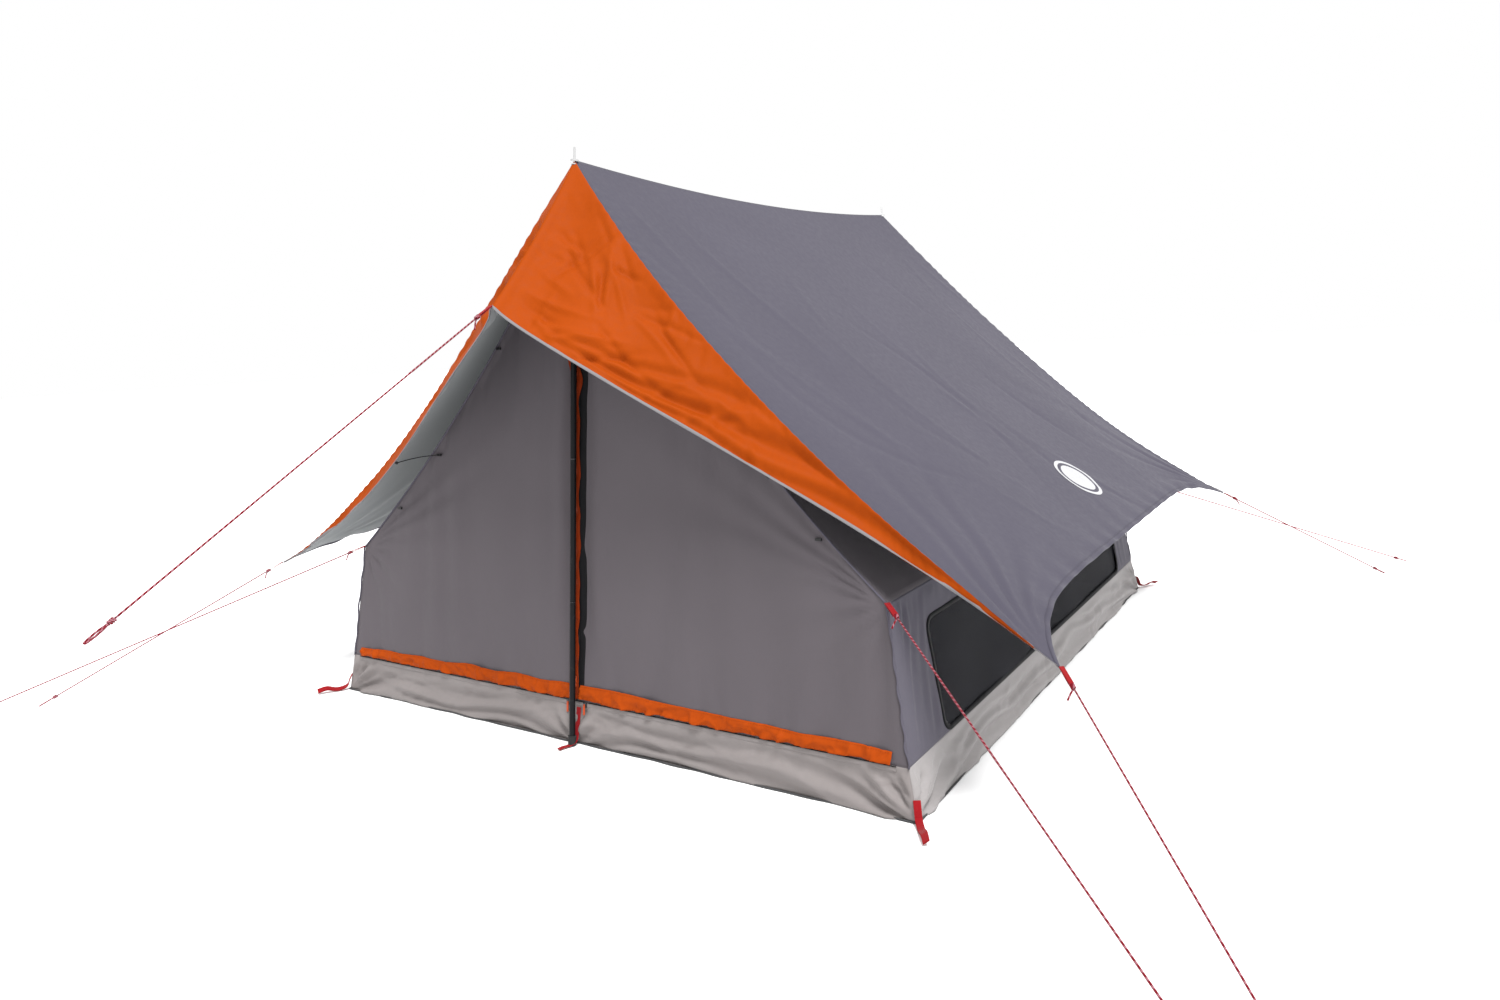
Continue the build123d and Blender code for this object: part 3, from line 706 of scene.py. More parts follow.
def fly_wrinkles(hand, u, w, v, p):
    """How far the cloth stands off its smooth shape at each point, along its normal.

    In order: broad swells, a fan at each corner, gathers along the seams, creases on the grey slope, ripples
    at the hem, then on the orange panel its folds, crumples and hollow, and the left seam's slack.
    """
    taut = ease(v, 0.0, 0.12) * ease(1 - v, 0.0, 0.06)
    seed = 10 if hand > 0 else 40
    broad = 0.0035 * waves(p, seed, 0.75) * taut

    to_corner = np.stack([(1 - np.abs(u)) * 1.05, (1 - v) * SLOPE_LENGTH], -1)
    reach = np.linalg.norm(to_corner, axis=-1)
    angle = np.arctan2(to_corner[..., 0], to_corner[..., 1] + 1e-6)
    turn = angle + 0.10 * waves(p, seed + 1, 0.5)
    fan = np.sin(17 * turn + 1.3 * np.sign(u) + hand) + 0.5 * np.sin(31 * turn + 2.0 * hand)
    corner = 0.0045 * fan * np.exp(-reach / 0.42) * ease(reach, 0.04, 0.22) * (w == 0)

    panel_width = np.linalg.norm(edge_line(v) - seam_line(v), axis=-1)
    from_seam = np.where(w > 0, w * panel_width, 1 - np.abs(u))
    along = v * SLOPE_LENGTH
    gathers = np.sin(2 * pi * along / 0.034 + 2.5 * waves(p, seed + 3, 0.2))
    pucker = 0.0011 * gathers * np.exp(-from_seam / 0.028) * taut

    slope_creases = 0.0022 * straight_creases(
        along, p[..., 1], seed + 9, 26, ((0.3, 1.7), (-1.0, 1.0)), (0.12, 0.45), 0.016, (0.0, 0.35)
    ) * taut * ease(1 - np.abs(u), 0.0, 0.08) * (w == 0)
    hem_gap = (1 - v) * SLOPE_LENGTH
    hem = 0.003 * np.sin(2 * pi * p[..., 1] / 0.13 + waves(p, seed + 4, 0.4))
    hem = hem * np.exp(-hem_gap / 0.06) * ease(1 - np.abs(u), 0.03, 0.2) * (w == 0)

    side = unit(FLY_CORNER - BEAK_TIP)
    upward = unit((PEAK - BEAK_TIP) - side * ((PEAK - BEAK_TIP) @ side))
    from_tip = np.stack([p[..., 0], np.abs(p[..., 1]), p[..., 2]], -1) - BEAK_TIP
    reach = np.linalg.norm(from_tip, axis=-1)
    lengthways, upwards = from_tip @ side, from_tip @ upward
    turn = np.arctan2(upwards, lengthways + 1e-6) + 0.018 * waves(p, seed + 5, 0.45)
    folds = np.zeros_like(reach)
    for at, spread, depth in BEAK_FOLDS:
        away = (turn - at) / spread
        folds = folds + depth * (0.7 * away - 0.5) * np.exp(-(away**2))
    folds = folds * ease(reach, 0.05, 0.40) * ease(1 - v, 0.0, 0.35) * ease(w, 0.0, 0.2) * ease(1 - w, 0.0, 0.08)
    crumple = 0.0095 * straight_creases(
        lengthways, upwards, seed + 6, 130, ((-0.25, 0.8), (0.0, 0.6)), (0.04, 0.14), 0.009, (-0.3, 0.7)
    )
    crumple = crumple + 0.0065 * waves(p, seed + 8, 0.17)
    upper = (0.25 + 0.75 * ease(1 - v, 0.45, 0.9)) * ease(w, 0.0, 0.12)
    upper = upper * ease(v, 0.005, 0.08) * ease(1 - v, 0.0, 0.1)
    crumple = crumple * upper * ease(1 - w, 0.0, 0.08)
    hollow = -0.020 * (1 - np.exp(-v / 0.035)) * np.exp(-v / 0.16) * ease(w, 0.0, 0.3) * ease(v, 0.0, 0.02)
    near_seam = np.where(w > 0, 1 - w, np.exp(-from_seam / 0.22))
    slack = -0.024 * bow(v) ** 0.8 * (1 - 0.65 * ease(v, 0.35, 0.8)) * near_seam * (hand < 0)
    return broad + corner + slope_creases + pucker + hem + slack + (folds + crumple + hollow) * (w > 0)


def fly_grid():
    """The whole fly as one grid: rows from the left hem over the ridge to the right hem."""
    lap = np.linspace(0, 1, LAP_POINTS)[1:]
    across = np.linspace(-1, 1, SLOPE_POINTS)
    u = np.concatenate([-np.ones(len(lap)), across, np.ones(len(lap))])
    w = np.concatenate([lap[::-1], np.zeros(len(across)), lap])
    rows, u = np.meshgrid(np.linspace(-1, 1, HEM_TO_HEM), u, indexing="ij")
    w = np.broadcast_to(w[None, :], u.shape)
    v = np.abs(rows)
    base = fly_base(u, w, v)
    base[..., 0] *= np.where(rows < 0, -1, 1)
    normal = normals_of(base)
    if normal[..., 2].mean() < 0:
        normal = -normal
    gap = np.where(w > 0, w * np.linalg.norm(edge_line(v) - seam_line(v), axis=-1), 1 - np.abs(u))
    shared = np.exp(-gap / SEAM_BLEND)[..., None]
    # Near a seam the normals of both its sides are shared, from columns three cells away on each side.
    count, half = len(lap), u.shape[1] // 2
    sides = ((slice(0, half), count + 3, count - 3), (slice(half, None), -count - 4, 2 - count))
    for columns, inner, outer in sides:
        ridge = unit(normal[:, inner] + normal[:, outer])[:, None]
        normal[:, columns] = unit(ridge * shared[:, columns] + normal[:, columns] * (1 - shared[:, columns]))
    lift = np.where(rows < 0, fly_wrinkles(-1, u, w, v, base), fly_wrinkles(1, u, w, v, base))
    panel = np.where(w > 0, w * 0.5 + PANEL_WIDTH, np.abs(u) * PANEL_WIDTH) * np.sign(u)
    cloth = np.stack([panel, rows * SLOPE_LENGTH], -1)
    return base + normal * lift[..., None], normal, u, w, rows, cloth


def make_fly():
    """The flysheet with its seams, bindings and stitching."""
    points, normal, u, w, rows, cloth = fly_grid()
    orange = (w[:-1, :-1] > 0) | (w[:-1, 1:] > 0)
    fly = cloth_sheet(
        "flysheet", points, [FLY_GREY, FLY_ORANGE, LINING, LINING], cloth, (0, 0, 1),
        thickness=0.0009, kinds=orange.astype(int), lining_offset=2,
    )
    panels = [f"fly_{part}_{hand_name}" for part in ("main", "front", "rear") for hand_name in HANDS]
    mount(fly, "tent", "fly_grey", *panels)

    middle = rows.shape[0] // 2
    lap = int((w[0] > 0).sum() // 2)
    for hand_name, hand in HANDS.items():
        half = slice(middle, None) if hand > 0 else slice(middle, None, -1)
        for end_name, end in ENDS.items():
            column = 0 if end < 0 else points.shape[1] - 1
            inner = column - end
            edge = points[half, column]
            inward = points[half, inner] - edge
            inward[-1] = inward[-2]
            edge_tape(
                f"fly_edge_{end_name}_{hand_name}", edge[:-1], inward[:-1], normal[half, column][:-1],
                0.0065, BINDING,
            )
            seam_column = lap - 1 if end < 0 else points.shape[1] - lap
            for row_name, shift in SEAM_ROWS.items():
                toward = unit(points[half, seam_column - 2 * end] - points[half, seam_column])
                line = points[half, seam_column] + toward * shift + normal[half, seam_column] * 0.0003
                stitches(
                    f"fly_seam_{end_name}_{hand_name}_{row_name}", line[2:-3], normal[half, seam_column][2:-3],
                )
        last = points.shape[0] - 1 if hand > 0 else 0
        grey = slice(lap, points.shape[1] - lap)
        hem = points[last, grey]
        inward = points[last - hand, grey] - hem
        edge_tape(f"fly_hem_{hand_name}", hem, inward, normal[last, grey], 0.014, FLY_GREY)
        line = hem + unit(inward) * 0.0125 + normal[last, grey] * 0.0014
        stitches(f"fly_hem_stitches_{hand_name}", line, normal[last, grey])
    ridge = points[middle, lap:points.shape[1] - lap]
    for name, hand in HANDS.items():
        line = ridge + np.array([hand * RIDGE_GAP, 0, -0.0025])
        stitches(f"fly_ridge_{name}", line[4:-4], (0, 0, 1))
    return points, normal, u, w, rows


def make_badge(points, normal, u, w, rows):
    """A plain round badge printed on the right slope, with a ring round its edge."""
    row = np.argmin(np.abs(rows[:, 0] - BADGE_V))
    column = np.argmin(np.abs(u[0] - BADGE_U) + w[0])
    turns = np.linspace(0, 2 * pi, 65)[:-1]
    centre = points[row, column]
    down = unit(points[row + 3, column] - points[row - 3, column])
    along = unit(points[row, column + 3] - points[row, column - 3])
    area = points[row - 9:row + 10, column - 12:column + 13].reshape(-1, 3)
    face = normal[row, column]

    def on_cloth(a, b, lift):
        flat = centre + down * a + along * b
        gaps = area - flat
        sideways = gaps - (gaps @ face)[:, None] * face
        weight = np.exp(-((np.linalg.norm(sideways, axis=1) / 0.012) ** 2))
        height = (weight * (gaps @ face)).sum() / weight.sum()
        return flat + face * (height + lift)

    disc = [(0.0, 0.0)]
    radii = np.linspace(0, BADGE_RADIUS, 8)[1:]
    disc += [(r * cos(t), r * sin(t)) for r in radii for t in turns]
    count = len(turns)
    faces = [(0, 1 + j, 1 + (j + 1) % count) for j in range(count)]
    for low in range(1, 1 + (len(radii) - 1) * count, count):
        for j in range(count):
            k = (j + 1) % count
            faces.append((low + j, low + count + j, low + count + k, low + k))
    kinds = [1 if 1 + 4 * count <= min(f) < 1 + 5 * count else 0 for f in faces]
    places = np.array([on_cloth(a, b, 0.0011) for a, b in disc])
    badge = new_object("fly_badge_print", places, faces, [BADGE_WHITE, FLY_GREY], np.array(disc), kinds)
    if np.cross(along, down) @ face > 0:
        badge.data.flip_normals()
    mount(badge, "tent", "badge_white", "fly_badge")


fly = make_fly()
make_badge(*fly)

# ---- Inner tent


def half_length(z):
    """The inner tent's half length at a height."""
    return FLOOR_LENGTH / 2 - z * tan(LEAN)


def end_wall(x, z, n, end=-1):
    """Points of an end wall: x across, z up, and n out of the wall."""
    y = end * (half_length(z) + n * cos(LEAN))
    return np.stack(np.broadcast_arrays(x, y, z + n * sin(LEAN)), -1)


def wall_cloth(name, x, z, out, material, thickness=CLOTH, end=-1):
    """A sheet of cloth that stands out from an end wall by so much at each point."""
    return cloth_sheet(name, end_wall(x, z, out, end), [material], np.stack([x, z], -1), (0, end, 0), thickness)


def roof_point(t):
    """The roof's cross-section on the right, from the shoulder (0) to the apex (1): an arc that sags."""
    rise = APEX[1] - SHOULDER[1]
    chord = hypot(SHOULDER[0], rise)
    sag = ROOF_DIP * bow(t)
    x = SHOULDER[0] * (1 - t) - sag * rise / chord
    z = SHOULDER[1] + rise * t - sag * SHOULDER[0] / chord
    return x, z


ROOF_T = np.linspace(0, 1, 200)
ROOF_X, ROOF_Z = roof_point(ROOF_T)


def half_width(z):
    """The inner tent's half width at a height."""
    lower = TUB_TOP[0] + (SHOULDER[0] - TUB_TOP[0]) * (z - TUB_TOP[1]) / (SHOULDER[1] - TUB_TOP[1])
    return np.where(z < SHOULDER[1], lower, np.interp(z, ROOF_Z, ROOF_X))


def wall_wrinkles(x, z, seed, zipped):
    """How far an end wall's cloth stands out.

    In order: soft swells, upright folds, a fan at the shoulder, pleats along the wall's edge and, on the wall
    with the door, the folds beside the zip (deeper on the left) and gathers above the hem.
    """
    p = np.stack([x, z], -1)
    out = 0.0022 * waves(p, seed, 0.55)
    side = np.abs(x)
    upright = np.sin(2 * pi * x / 0.16 + 1.5 * waves(p * (1.0, 0.35), seed + 1, 0.5))
    out = out + 0.0026 * upright * ease(side, 0.05, 0.3)
    gap = half_width(z) - side
    corner = np.hypot(gap, z - SHOULDER[1])
    angle = np.arctan2(z - SHOULDER[1], gap + 1e-6)
    out = out + 0.0060 * np.sin(13 * angle + seed) * np.exp(-corner / 0.16) * ease(corner, 0.01, 0.08)
    pleats = np.sin(2 * pi * (side + 0.06 * z) / 0.055 + 0.8 * waves(p, seed + 2, 0.4))
    out = out + 0.0020 * pleats * np.exp(-gap / 0.07) * ease(gap, 0.0, 0.02)
    if zipped:
        fold = np.sin(2 * pi * (side - 0.012) / 0.085 + 0.5 * waves(p, seed + 3, 0.6))
        depth = np.exp(-(side / 0.07) ** 2) * ease(z, 0.15, 0.4) * ease(DOOR_TOP - z, -0.05, 0.25)
        out = out - np.where(x < 0, 0.010, 0.0055) * (0.6 + fold) * depth * ease(side, 0.0, 0.02)
        above_hem = z - TUB_TOP[1]
        gathers = np.sin(2 * pi * x / 0.07 + 2.0 * waves(p, seed + 4, 0.3))
        out = out + 0.0014 * gathers * np.exp(-above_hem / 0.10)
    return out * ease(gap, 0.0, 0.03) * ease(z - TUB_TOP[1], 0.0, 0.03)


def wall_grid():
    """(x, z) of a half end wall: columns from the middle out, rows from the tub up."""
    z, share = grid((TUB_TOP[1], APEX[1] - 0.004, 150), (0, 1, 110))
    return share * half_width(z), z


def make_front_wall(hand_name, hand):
    """A front panel and its door leaf in one cloth. The leaf's fold line is worked out, but the cloth does not bend
    along it.
    """
    x, z = wall_grid()
    x = hand * x
    wall = wall_cloth(f"front_wall_{hand_name}", x, z, wall_wrinkles(x, z, WALL_SEED[hand], True), INNER_GREY)
    fold_top = np.array([0.0, DOOR_TOP])
    fold_low = np.array([hand * DOOR_CORNER, TUB_TOP[1]])
    way = unit(fold_low - fold_top)
    to_leaf = np.array([-way[1], way[0]]) * hand * -1
    if to_leaf @ (np.array([0.0, TUB_TOP[1]]) - fold_top) < 0:
        to_leaf = -to_leaf
    middle = (fold_top + fold_low) / 2
    start, end = (tuple(end_wall(*(middle + to_leaf * away), 0.0)) for away in (-0.004, 0.022))
    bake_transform(wall)
    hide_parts(f"front_panel_{hand_name}", f"door_leaf_{hand_name}")


def make_rear_wall():
    """The closed rear wall, with a seam up its middle."""
    x, z = wall_grid()
    both = np.concatenate([-x[:, :0:-1], x], axis=1)
    height = np.concatenate([z[:, :0:-1], z], axis=1)
    out = wall_wrinkles(both, height, REAR_SEED, False)
    wall = wall_cloth("rear_wall_cloth", both, height, out, INNER_GREY, end=1)
    mount(wall, "tent", "inner_grey", "rear_wall")
    heights = np.linspace(TUB_TOP[1] + 0.01, 1.46, 200)
    for name, hand in HANDS.items():
        x = np.full(200, hand * SEAM_GAP)
        line = end_wall(x, heights, wall_wrinkles(x, heights, REAR_SEED, False) + 0.0002, 1)
        stitches(f"rear_seam_{name}", line, (0, 1, 0.12))


def side_place(hand, t, z_share, bottom, top, out):
    """Points of a side panel: t from the front (-1) to the rear (1), z_share up, out along its normal."""
    x = bottom[0] + (top[0] - bottom[0]) * z_share
    z = bottom[1] + (top[1] - bottom[1]) * z_share
    rise = hypot(top[0] - bottom[0], top[1] - bottom[1])
    nx, nz = (top[1] - bottom[1]) / rise, (bottom[0] - top[0]) / rise
    y = t * half_length(z)
    return np.stack([hand * (x + nx * out), y, z + nz * out], -1), z


def whole_cells(marked):
    """The grid's cells whose four corners are all marked."""
    return marked[:-1, :-1] & marked[1:, :-1] & marked[:-1, 1:] & marked[1:, 1:]


def make_side(hand_name, hand):
    """A side wall with its bound mesh window."""
    share, t = grid((0, 1, 72), (-1, 1, 340))
    flat, z = side_place(hand, t, share, TUB_TOP, SHOULDER, 0.0)
    y = flat[..., 1]
    p = np.stack([y, z], -1)
    seed = 90 if hand > 0 else 95
    from_end = FLOOR_LENGTH / 2 - np.abs(y)
    tall = np.sin(2 * pi * (y + 0.25 * (z - 0.3) * np.sign(y)) / 0.048 + 1.4 * waves(p, seed, 0.3))
    tall = tall * (0.6 + 0.6 * waves(p * (1.0, 0.6), seed + 4, 0.12))
    out = 0.0060 * tall * np.exp(-from_end / 0.14) + 0.002 * waves(p, seed + 1, 0.4)
    out = out + 0.0035 * np.sin(2 * pi * y / 0.21 + waves(p, seed + 2, 0.5)) * ease(z, WINDOW_HIGH, SHOULDER[1])
    out = out * ease(from_end, 0.075, 0.11) * ease(share, 0.0, 0.1) * ease(1 - share, 0.0, 0.1)
    points, _ = side_place(hand, t, share, TUB_TOP, SHOULDER, out)

    half_y, half_z = WINDOW_HALF, (WINDOW_HIGH - WINDOW_LOW) / 2
    middle_z = (WINDOW_HIGH + WINDOW_LOW) / 2
    over_y = np.maximum(np.abs(y) - (half_y - WINDOW_CORNER), 0)
    over_z = np.maximum(np.abs(z - middle_z) - (half_z - WINDOW_CORNER), 0)
    over = np.hypot(over_y, over_z)
    inside = over < WINDOW_CORNER
    holes = whole_cells(inside)
    wall = cloth_sheet(f"side_wall_cloth_{hand_name}", points, [SIDE_GREY], p, (hand, 0, 0), kept=~holes)
    mount(wall, "tent", "inner_grey", f"side_wall_{hand_name}")

    keep = whole_cells(over < WINDOW_CORNER + 0.012)
    sag = 0.004 * waves(p, seed + 3, 0.5) - 0.0016
    netting_points, _ = side_place(hand, t, share, TUB_TOP, SHOULDER, np.where(inside, sag, out - 0.0016))
    net = cloth_sheet(
        f"window_net_{hand_name}", netting_points, [MESH_BLACK], p, (hand, 0, 0), thickness=0.0004, kept=keep,
    )
    mount(net, "tent", "mesh_black", f"window_mesh_{hand_name}")

    turns = np.linspace(0, pi / 2, 15)
    corner = WINDOW_CORNER + 0.002
    outline = []
    for quarter, (sy, sz) in enumerate(((1, 1), (-1, 1), (-1, -1), (1, -1))):
        for turn in turns:
            a = turn + quarter * pi / 2
            at_y = sy * (half_y - WINDOW_CORNER) + corner * cos(a)
            outline.append((at_y, middle_z + sz * (half_z - WINDOW_CORNER) + corner * sin(a)))
    outline = np.array(outline)
    share_at = (outline[:, 1] - TUB_TOP[1]) / (SHOULDER[1] - TUB_TOP[1])
    t_at = outline[:, 0] / half_length(outline[:, 1])
    path, _ = side_place(hand, t_at, share_at, TUB_TOP, SHOULDER, 0.0006)
    section = flat_section(0.0028, 0.012, 3)
    tube(f"window_binding_{hand_name}", path, section, BLACK_TAPE, across=(hand, 0, 0.17), closed=True)


def make_roof(hand_name, hand):
    """An inner roof slope."""
    share, t = grid((0, 1, 90), (-1, 1, 160))
    x, z = roof_point(share)
    y = t * (half_length(z) - 0.001)
    flat = np.stack([hand * x, y, z], -1)
    normal = normals_of(flat)
    if normal[..., 2].mean() < 0:
        normal = -normal
    seed = 100 if hand > 0 else 105
    edge = ease(1 - np.abs(t), 0.0, 0.06) * ease(share, 0, 0.05) * ease(1 - share, 0, 0.04)
    lift = (0.004 * waves(flat, seed, 0.5) + 0.002 * np.sin(2 * pi * y / 0.12 + waves(flat, seed + 1, 0.5))) * edge
    cloth = np.stack([y, share * 1.38], -1)
    points = flat + normal * lift[..., None]
    roof = cloth_sheet(f"inner_roof_cloth_{hand_name}", points, [INNER_GREY], cloth, (0, 0, 1))
    mount(roof, "tent", "inner_grey", f"inner_roof_{hand_name}")


def make_piping():
    """Corner seams of the inner tent: up each corner, then up each slope edge."""
    for end_name, end in ENDS.items():
        for hand_name, hand in HANDS.items():
            low = np.linspace(0, 1, 30)
            x = TUB_TOP[0] + (SHOULDER[0] - TUB_TOP[0]) * low
            z = TUB_TOP[1] + (SHOULDER[1] - TUB_TOP[1]) * low
            wobble = 0.0025 * waves(z[:, None] * (1.0, 0.5), 120 + hand + 2 * end, 0.07)
            post = end_wall(hand * (x + wobble), z, 0.0015, end)
            rx, rz = roof_point(np.linspace(0, 0.985, 120))
            slope = end_wall(hand * rx, rz, 0.0010, end)
            for kind, path in (("corner", post), ("slope", slope)):
                tube(f"piping_{kind}_{end_name}_{hand_name}", path, ring(0.0028, squeeze=0.8), SIDE_GREY)


# ---- Tub


def tub_wrinkles(along, height, reach, seed, middle):
    """How far a tub wall stands out.

    In order: a fan from each corner and, on the end walls, from the pole strap, then long folds, short creases
    and soft swells. It lies flat at its top, where the zip sliders run.
    """
    p = np.stack([along, height * 3], -1)
    gap = reach - np.abs(along)
    top = TUB_TOP[1] - height
    angle = np.arctan2(height + 0.015, gap + 0.02)
    distance = np.hypot(gap, height)
    fan = np.sin(11 * angle + 0.6 * waves(p, seed, 0.4)) + 0.6 * np.sin(23 * angle + seed)
    out = 0.0130 * fan * np.exp(-distance / 0.26) * ease(distance, 0.01, 0.08)
    if middle:
        near = np.abs(along)
        angle = np.arctan2(height + 0.01, near + 0.02)
        distance = np.hypot(near, height)
        out = out + 0.012 * np.sin(12 * angle + seed) * np.exp(-distance / 0.15) * ease(distance, 0.012, 0.06)
    tilt = height + 0.03 * np.abs(along)
    out = out + 0.0055 * np.sin(2 * pi * tilt / 0.05 + 1.8 * waves(p, seed + 1, 0.5)) * ease(gap, 0.06, 0.35)
    reach_of_creases = ((-1.1, 1.1), (0.0, 0.1))
    out = out + 0.0030 * straight_creases(
        along, height, seed + 3, 60, reach_of_creases, (0.04, 0.14), 0.006, (0.0, 0.3)
    )
    out = out + 0.004 * waves(np.stack([along, height], -1), seed + 2, 0.6) * bow(np.clip(height / TUB_TOP[1], 0, 1))
    return out * ease(gap, 0.0, 0.02) * ease(top, 0.0, 0.055)


def make_tub():
    """Four sloping walls and the groundsheet."""
    share, t = grid((0, 1, 24), (-1, 1, 300))
    z = TUB_FOOT[1] + (TUB_TOP[1] - TUB_FOOT[1]) * share
    half = TUB_FOOT[0] + (TUB_TOP[0] - TUB_FOOT[0]) * share
    for end_name, end in ENDS.items():
        x = t * half
        out = tub_wrinkles(x, z, half, 130 + end, True)
        wall = wall_cloth(f"tub_cloth_{end_name}", x, z, out, TUB_GREY, TUB_CLOTH, end)
        mount(wall, "tent", "tub_grey", f"tub_wall_{end_name}")
    for hand_name, hand in HANDS.items():
        y = t * half_length(z)
        out = tub_wrinkles(y, z, half_length(z), 140 + hand, False)
        points, _ = side_place(hand, t, share, TUB_FOOT, TUB_TOP, out)
        cloth = np.stack([y, z], -1)
        wall = cloth_sheet(f"tub_cloth_{hand_name}", points, [TUB_SIDE_GREY], cloth, (hand, 0, 0), TUB_CLOTH)
        mount(wall, "tent", "tub_grey", f"tub_wall_{hand_name}")

    x, y = grid((-1, 1, 121), (-1.1, 1.1, 131))
    p = np.stack([x, y], -1)
    inner = ease(1 - np.abs(x), 0.0, 0.1) * ease(1.1 - np.abs(y), 0.0, 0.1)
    height = SHEET + (0.003 + 0.003 * waves(p, 150, 0.35) + 0.002 * creases(p, 151, 0.4)) * inner
    ground = cloth_sheet(
        "groundsheet_cloth", np.stack([x, y, np.maximum(height, SHEET)], -1), [TUB_GREY, TUB_UNDER], p, (0, 0, 1),
        thickness=0.0019, lining_offset=1,
    )
    mount(ground, "tent", "tub_grey", "groundsheet")

    # A thin tube in the groundsheet underside's colour runs round the tub's foot, just outside the groundsheet's
    # edge.
    corners = [(-1, -1), (1, -1), (1, 1), (-1, 1)]
    rim = []
    for (ax, ay), (bx, by) in zip(corners, corners[1:] + corners[:1]):
        for k in np.linspace(0, 1, 120, endpoint=False):
            rim.append((ax + (bx - ax) * k, (ay + (by - ay) * k) * 1.1))
    rim = np.array(rim)
    wave = 0.0015 * waves(rim, 152, 0.12)
    path = np.column_stack([rim * (1.001 + wave[:, None]), np.full(len(rim), 0.0022)])
    tube("tub_foot_line", path, ring(0.0022), TUB_UNDER, closed=True)


for hand_name, hand in HANDS.items():
    make_front_wall(hand_name, hand)
    make_side(hand_name, hand)
    make_roof(hand_name, hand)
make_rear_wall()
make_piping()
make_tub()

# ---- Door zips and flaps


def make_zips():
    """The orange storm flap, the black zip tape with its teeth, and the crumpled hem flaps."""
    low, high = TUB_TOP[1] + 0.005, DOOR_TOP - 0.05
    z, share = grid((low, high, 260), (0, 1, 9))
    p = np.stack([z, share * 0.03], -1)
    upwards = z[..., None] * (1.0, 0.0)
    meander = 0.0035 * waves(upwards, 160, 0.13)
    narrow = 1 - 0.25 * creases(upwards, 161, 0.2)
    upper = ease(z, 0.85, 1.0)
    x = 0.007 + meander * 1.3 - (0.030 + 0.014 * upper) * share * narrow
    out = 0.0034 + 0.0040 * bow(share) * (0.6 + 0.5 * waves(p, 162, 0.05)) + 0.0016 * creases(p, 163, 0.04)
    out = out + np.maximum(wall_wrinkles(x, z, WALL_SEED[1], True), wall_wrinkles(x, z, WALL_SEED[-1], True))
    flap = wall_cloth("door_storm_flap", x, z, out, ZIP_ORANGE)
    mount(flap, "door_left", "zip_orange", "door_zip_flap")

    x = 0.003 + 0.021 * share * (1 - 0.35 * creases(upwards, 165, 0.3)) + meander * 0.3
    out = 0.0008 + 0.0018 * bow(share) * (0.5 + 0.5 * waves(p, 164, 0.09))
    out = out + wall_wrinkles(x, z, WALL_SEED[1], True)
    tape = wall_cloth("door_tape", x, z, out, BLACK_TAPE)
    mount(tape, "door_right", "zip_black", "door_zip_tape")
    teeth = end_wall(0.0, np.linspace(low, high, 300), 0.0006)
    tube("door_zip_coil", teeth, ring(0.0016, squeeze=0.7), BLACK_TAPE, "door_right")

    for hand_name, hand in HANDS.items():
        s, share = grid((0, 1, 220), (0, 1, 11))
        seed = 170 if hand > 0 else 175
        start, stop = 0.012, DOOR_CORNER - 0.010
        x = start + (stop - start) * s
        across = x[..., None] * (1.0, 0.0)
        droop = 0.013 * s**1.5
        top = TUB_TOP[1] + 0.043 - droop + 0.0028 * waves(across, seed, 0.22)
        bottom = TUB_TOP[1] + 0.0015 + 0.0025 * np.abs(waves(across, seed + 1, 0.14))
        bottom = bottom + 0.003 * creases(across, seed + 2, 0.4)
        z = top + (bottom - top) * share
        p = np.stack([x, z * 1.5], -1)
        out = 0.0016 + 0.0070 * bow(share * 0.7) * (0.7 + 0.5 * waves(p, seed + 3, 0.10))
        out = out + 0.0055 * creases(p, seed + 4, 0.11) * share + 0.003 * waves(p, seed + 5, 0.045) * share
        out = out + 0.0035 * straight_creases(
            x, z, seed + 6, 60, ((0.0, 0.94), (0.11, 0.16)), (0.008, 0.03), 0.004, (1.0, 0.5)
        )
        out = np.maximum(out, 0.0014) + np.maximum(wall_wrinkles(hand * x, z, WALL_SEED[hand], True), 0)
        points = end_wall(hand * x, z, out)
        flap = cloth_sheet(f"hem_flap_{hand_name}", points, [FLAP_ORANGE], np.stack([x, z], -1), (0, -1, 0))
        mount(flap, f"door_{hand_name}", "zip_orange", f"door_hem_flap_{hand_name}")
        line = end_wall(hand * x[:, 0], top[:, 0] - 0.004, out[:, 1] + 0.0008)
        stitches(f"hem_flap_stitches_{hand_name}", line, (0, -1, 0.12), THREAD_ORANGE, f"door_{hand_name}")

    x, share = grid((-DOOR_CORNER, DOOR_CORNER, 200), (0, 1, 4))
    z = TUB_TOP[1] - 0.014 + 0.013 * share
    tape = wall_cloth("tub_tape", x, z, 0.0009, TUB_GREY, 0.0006)
    mount(tape, "tent", "zip_black", "tub_zip_tape")
    teeth = end_wall(np.linspace(-DOOR_CORNER, DOOR_CORNER, 300), TUB_TOP[1] - 0.001, 0.0018)
    tube("tub_zip_coil", teeth, ring(0.0013, squeeze=0.8), BLACK_TAPE)


make_zips()

# ---- Webbing, guy lines and elastics


def guy_direction(angles, hand, end):
    """Unit vector outwards and down, from (outwards, down) angles in degrees."""
    turn, fall = radians(angles[0]), radians(angles[1])
    return np.array([hand * cos(turn) * cos(fall), end * sin(turn) * cos(fall), -sin(fall)])


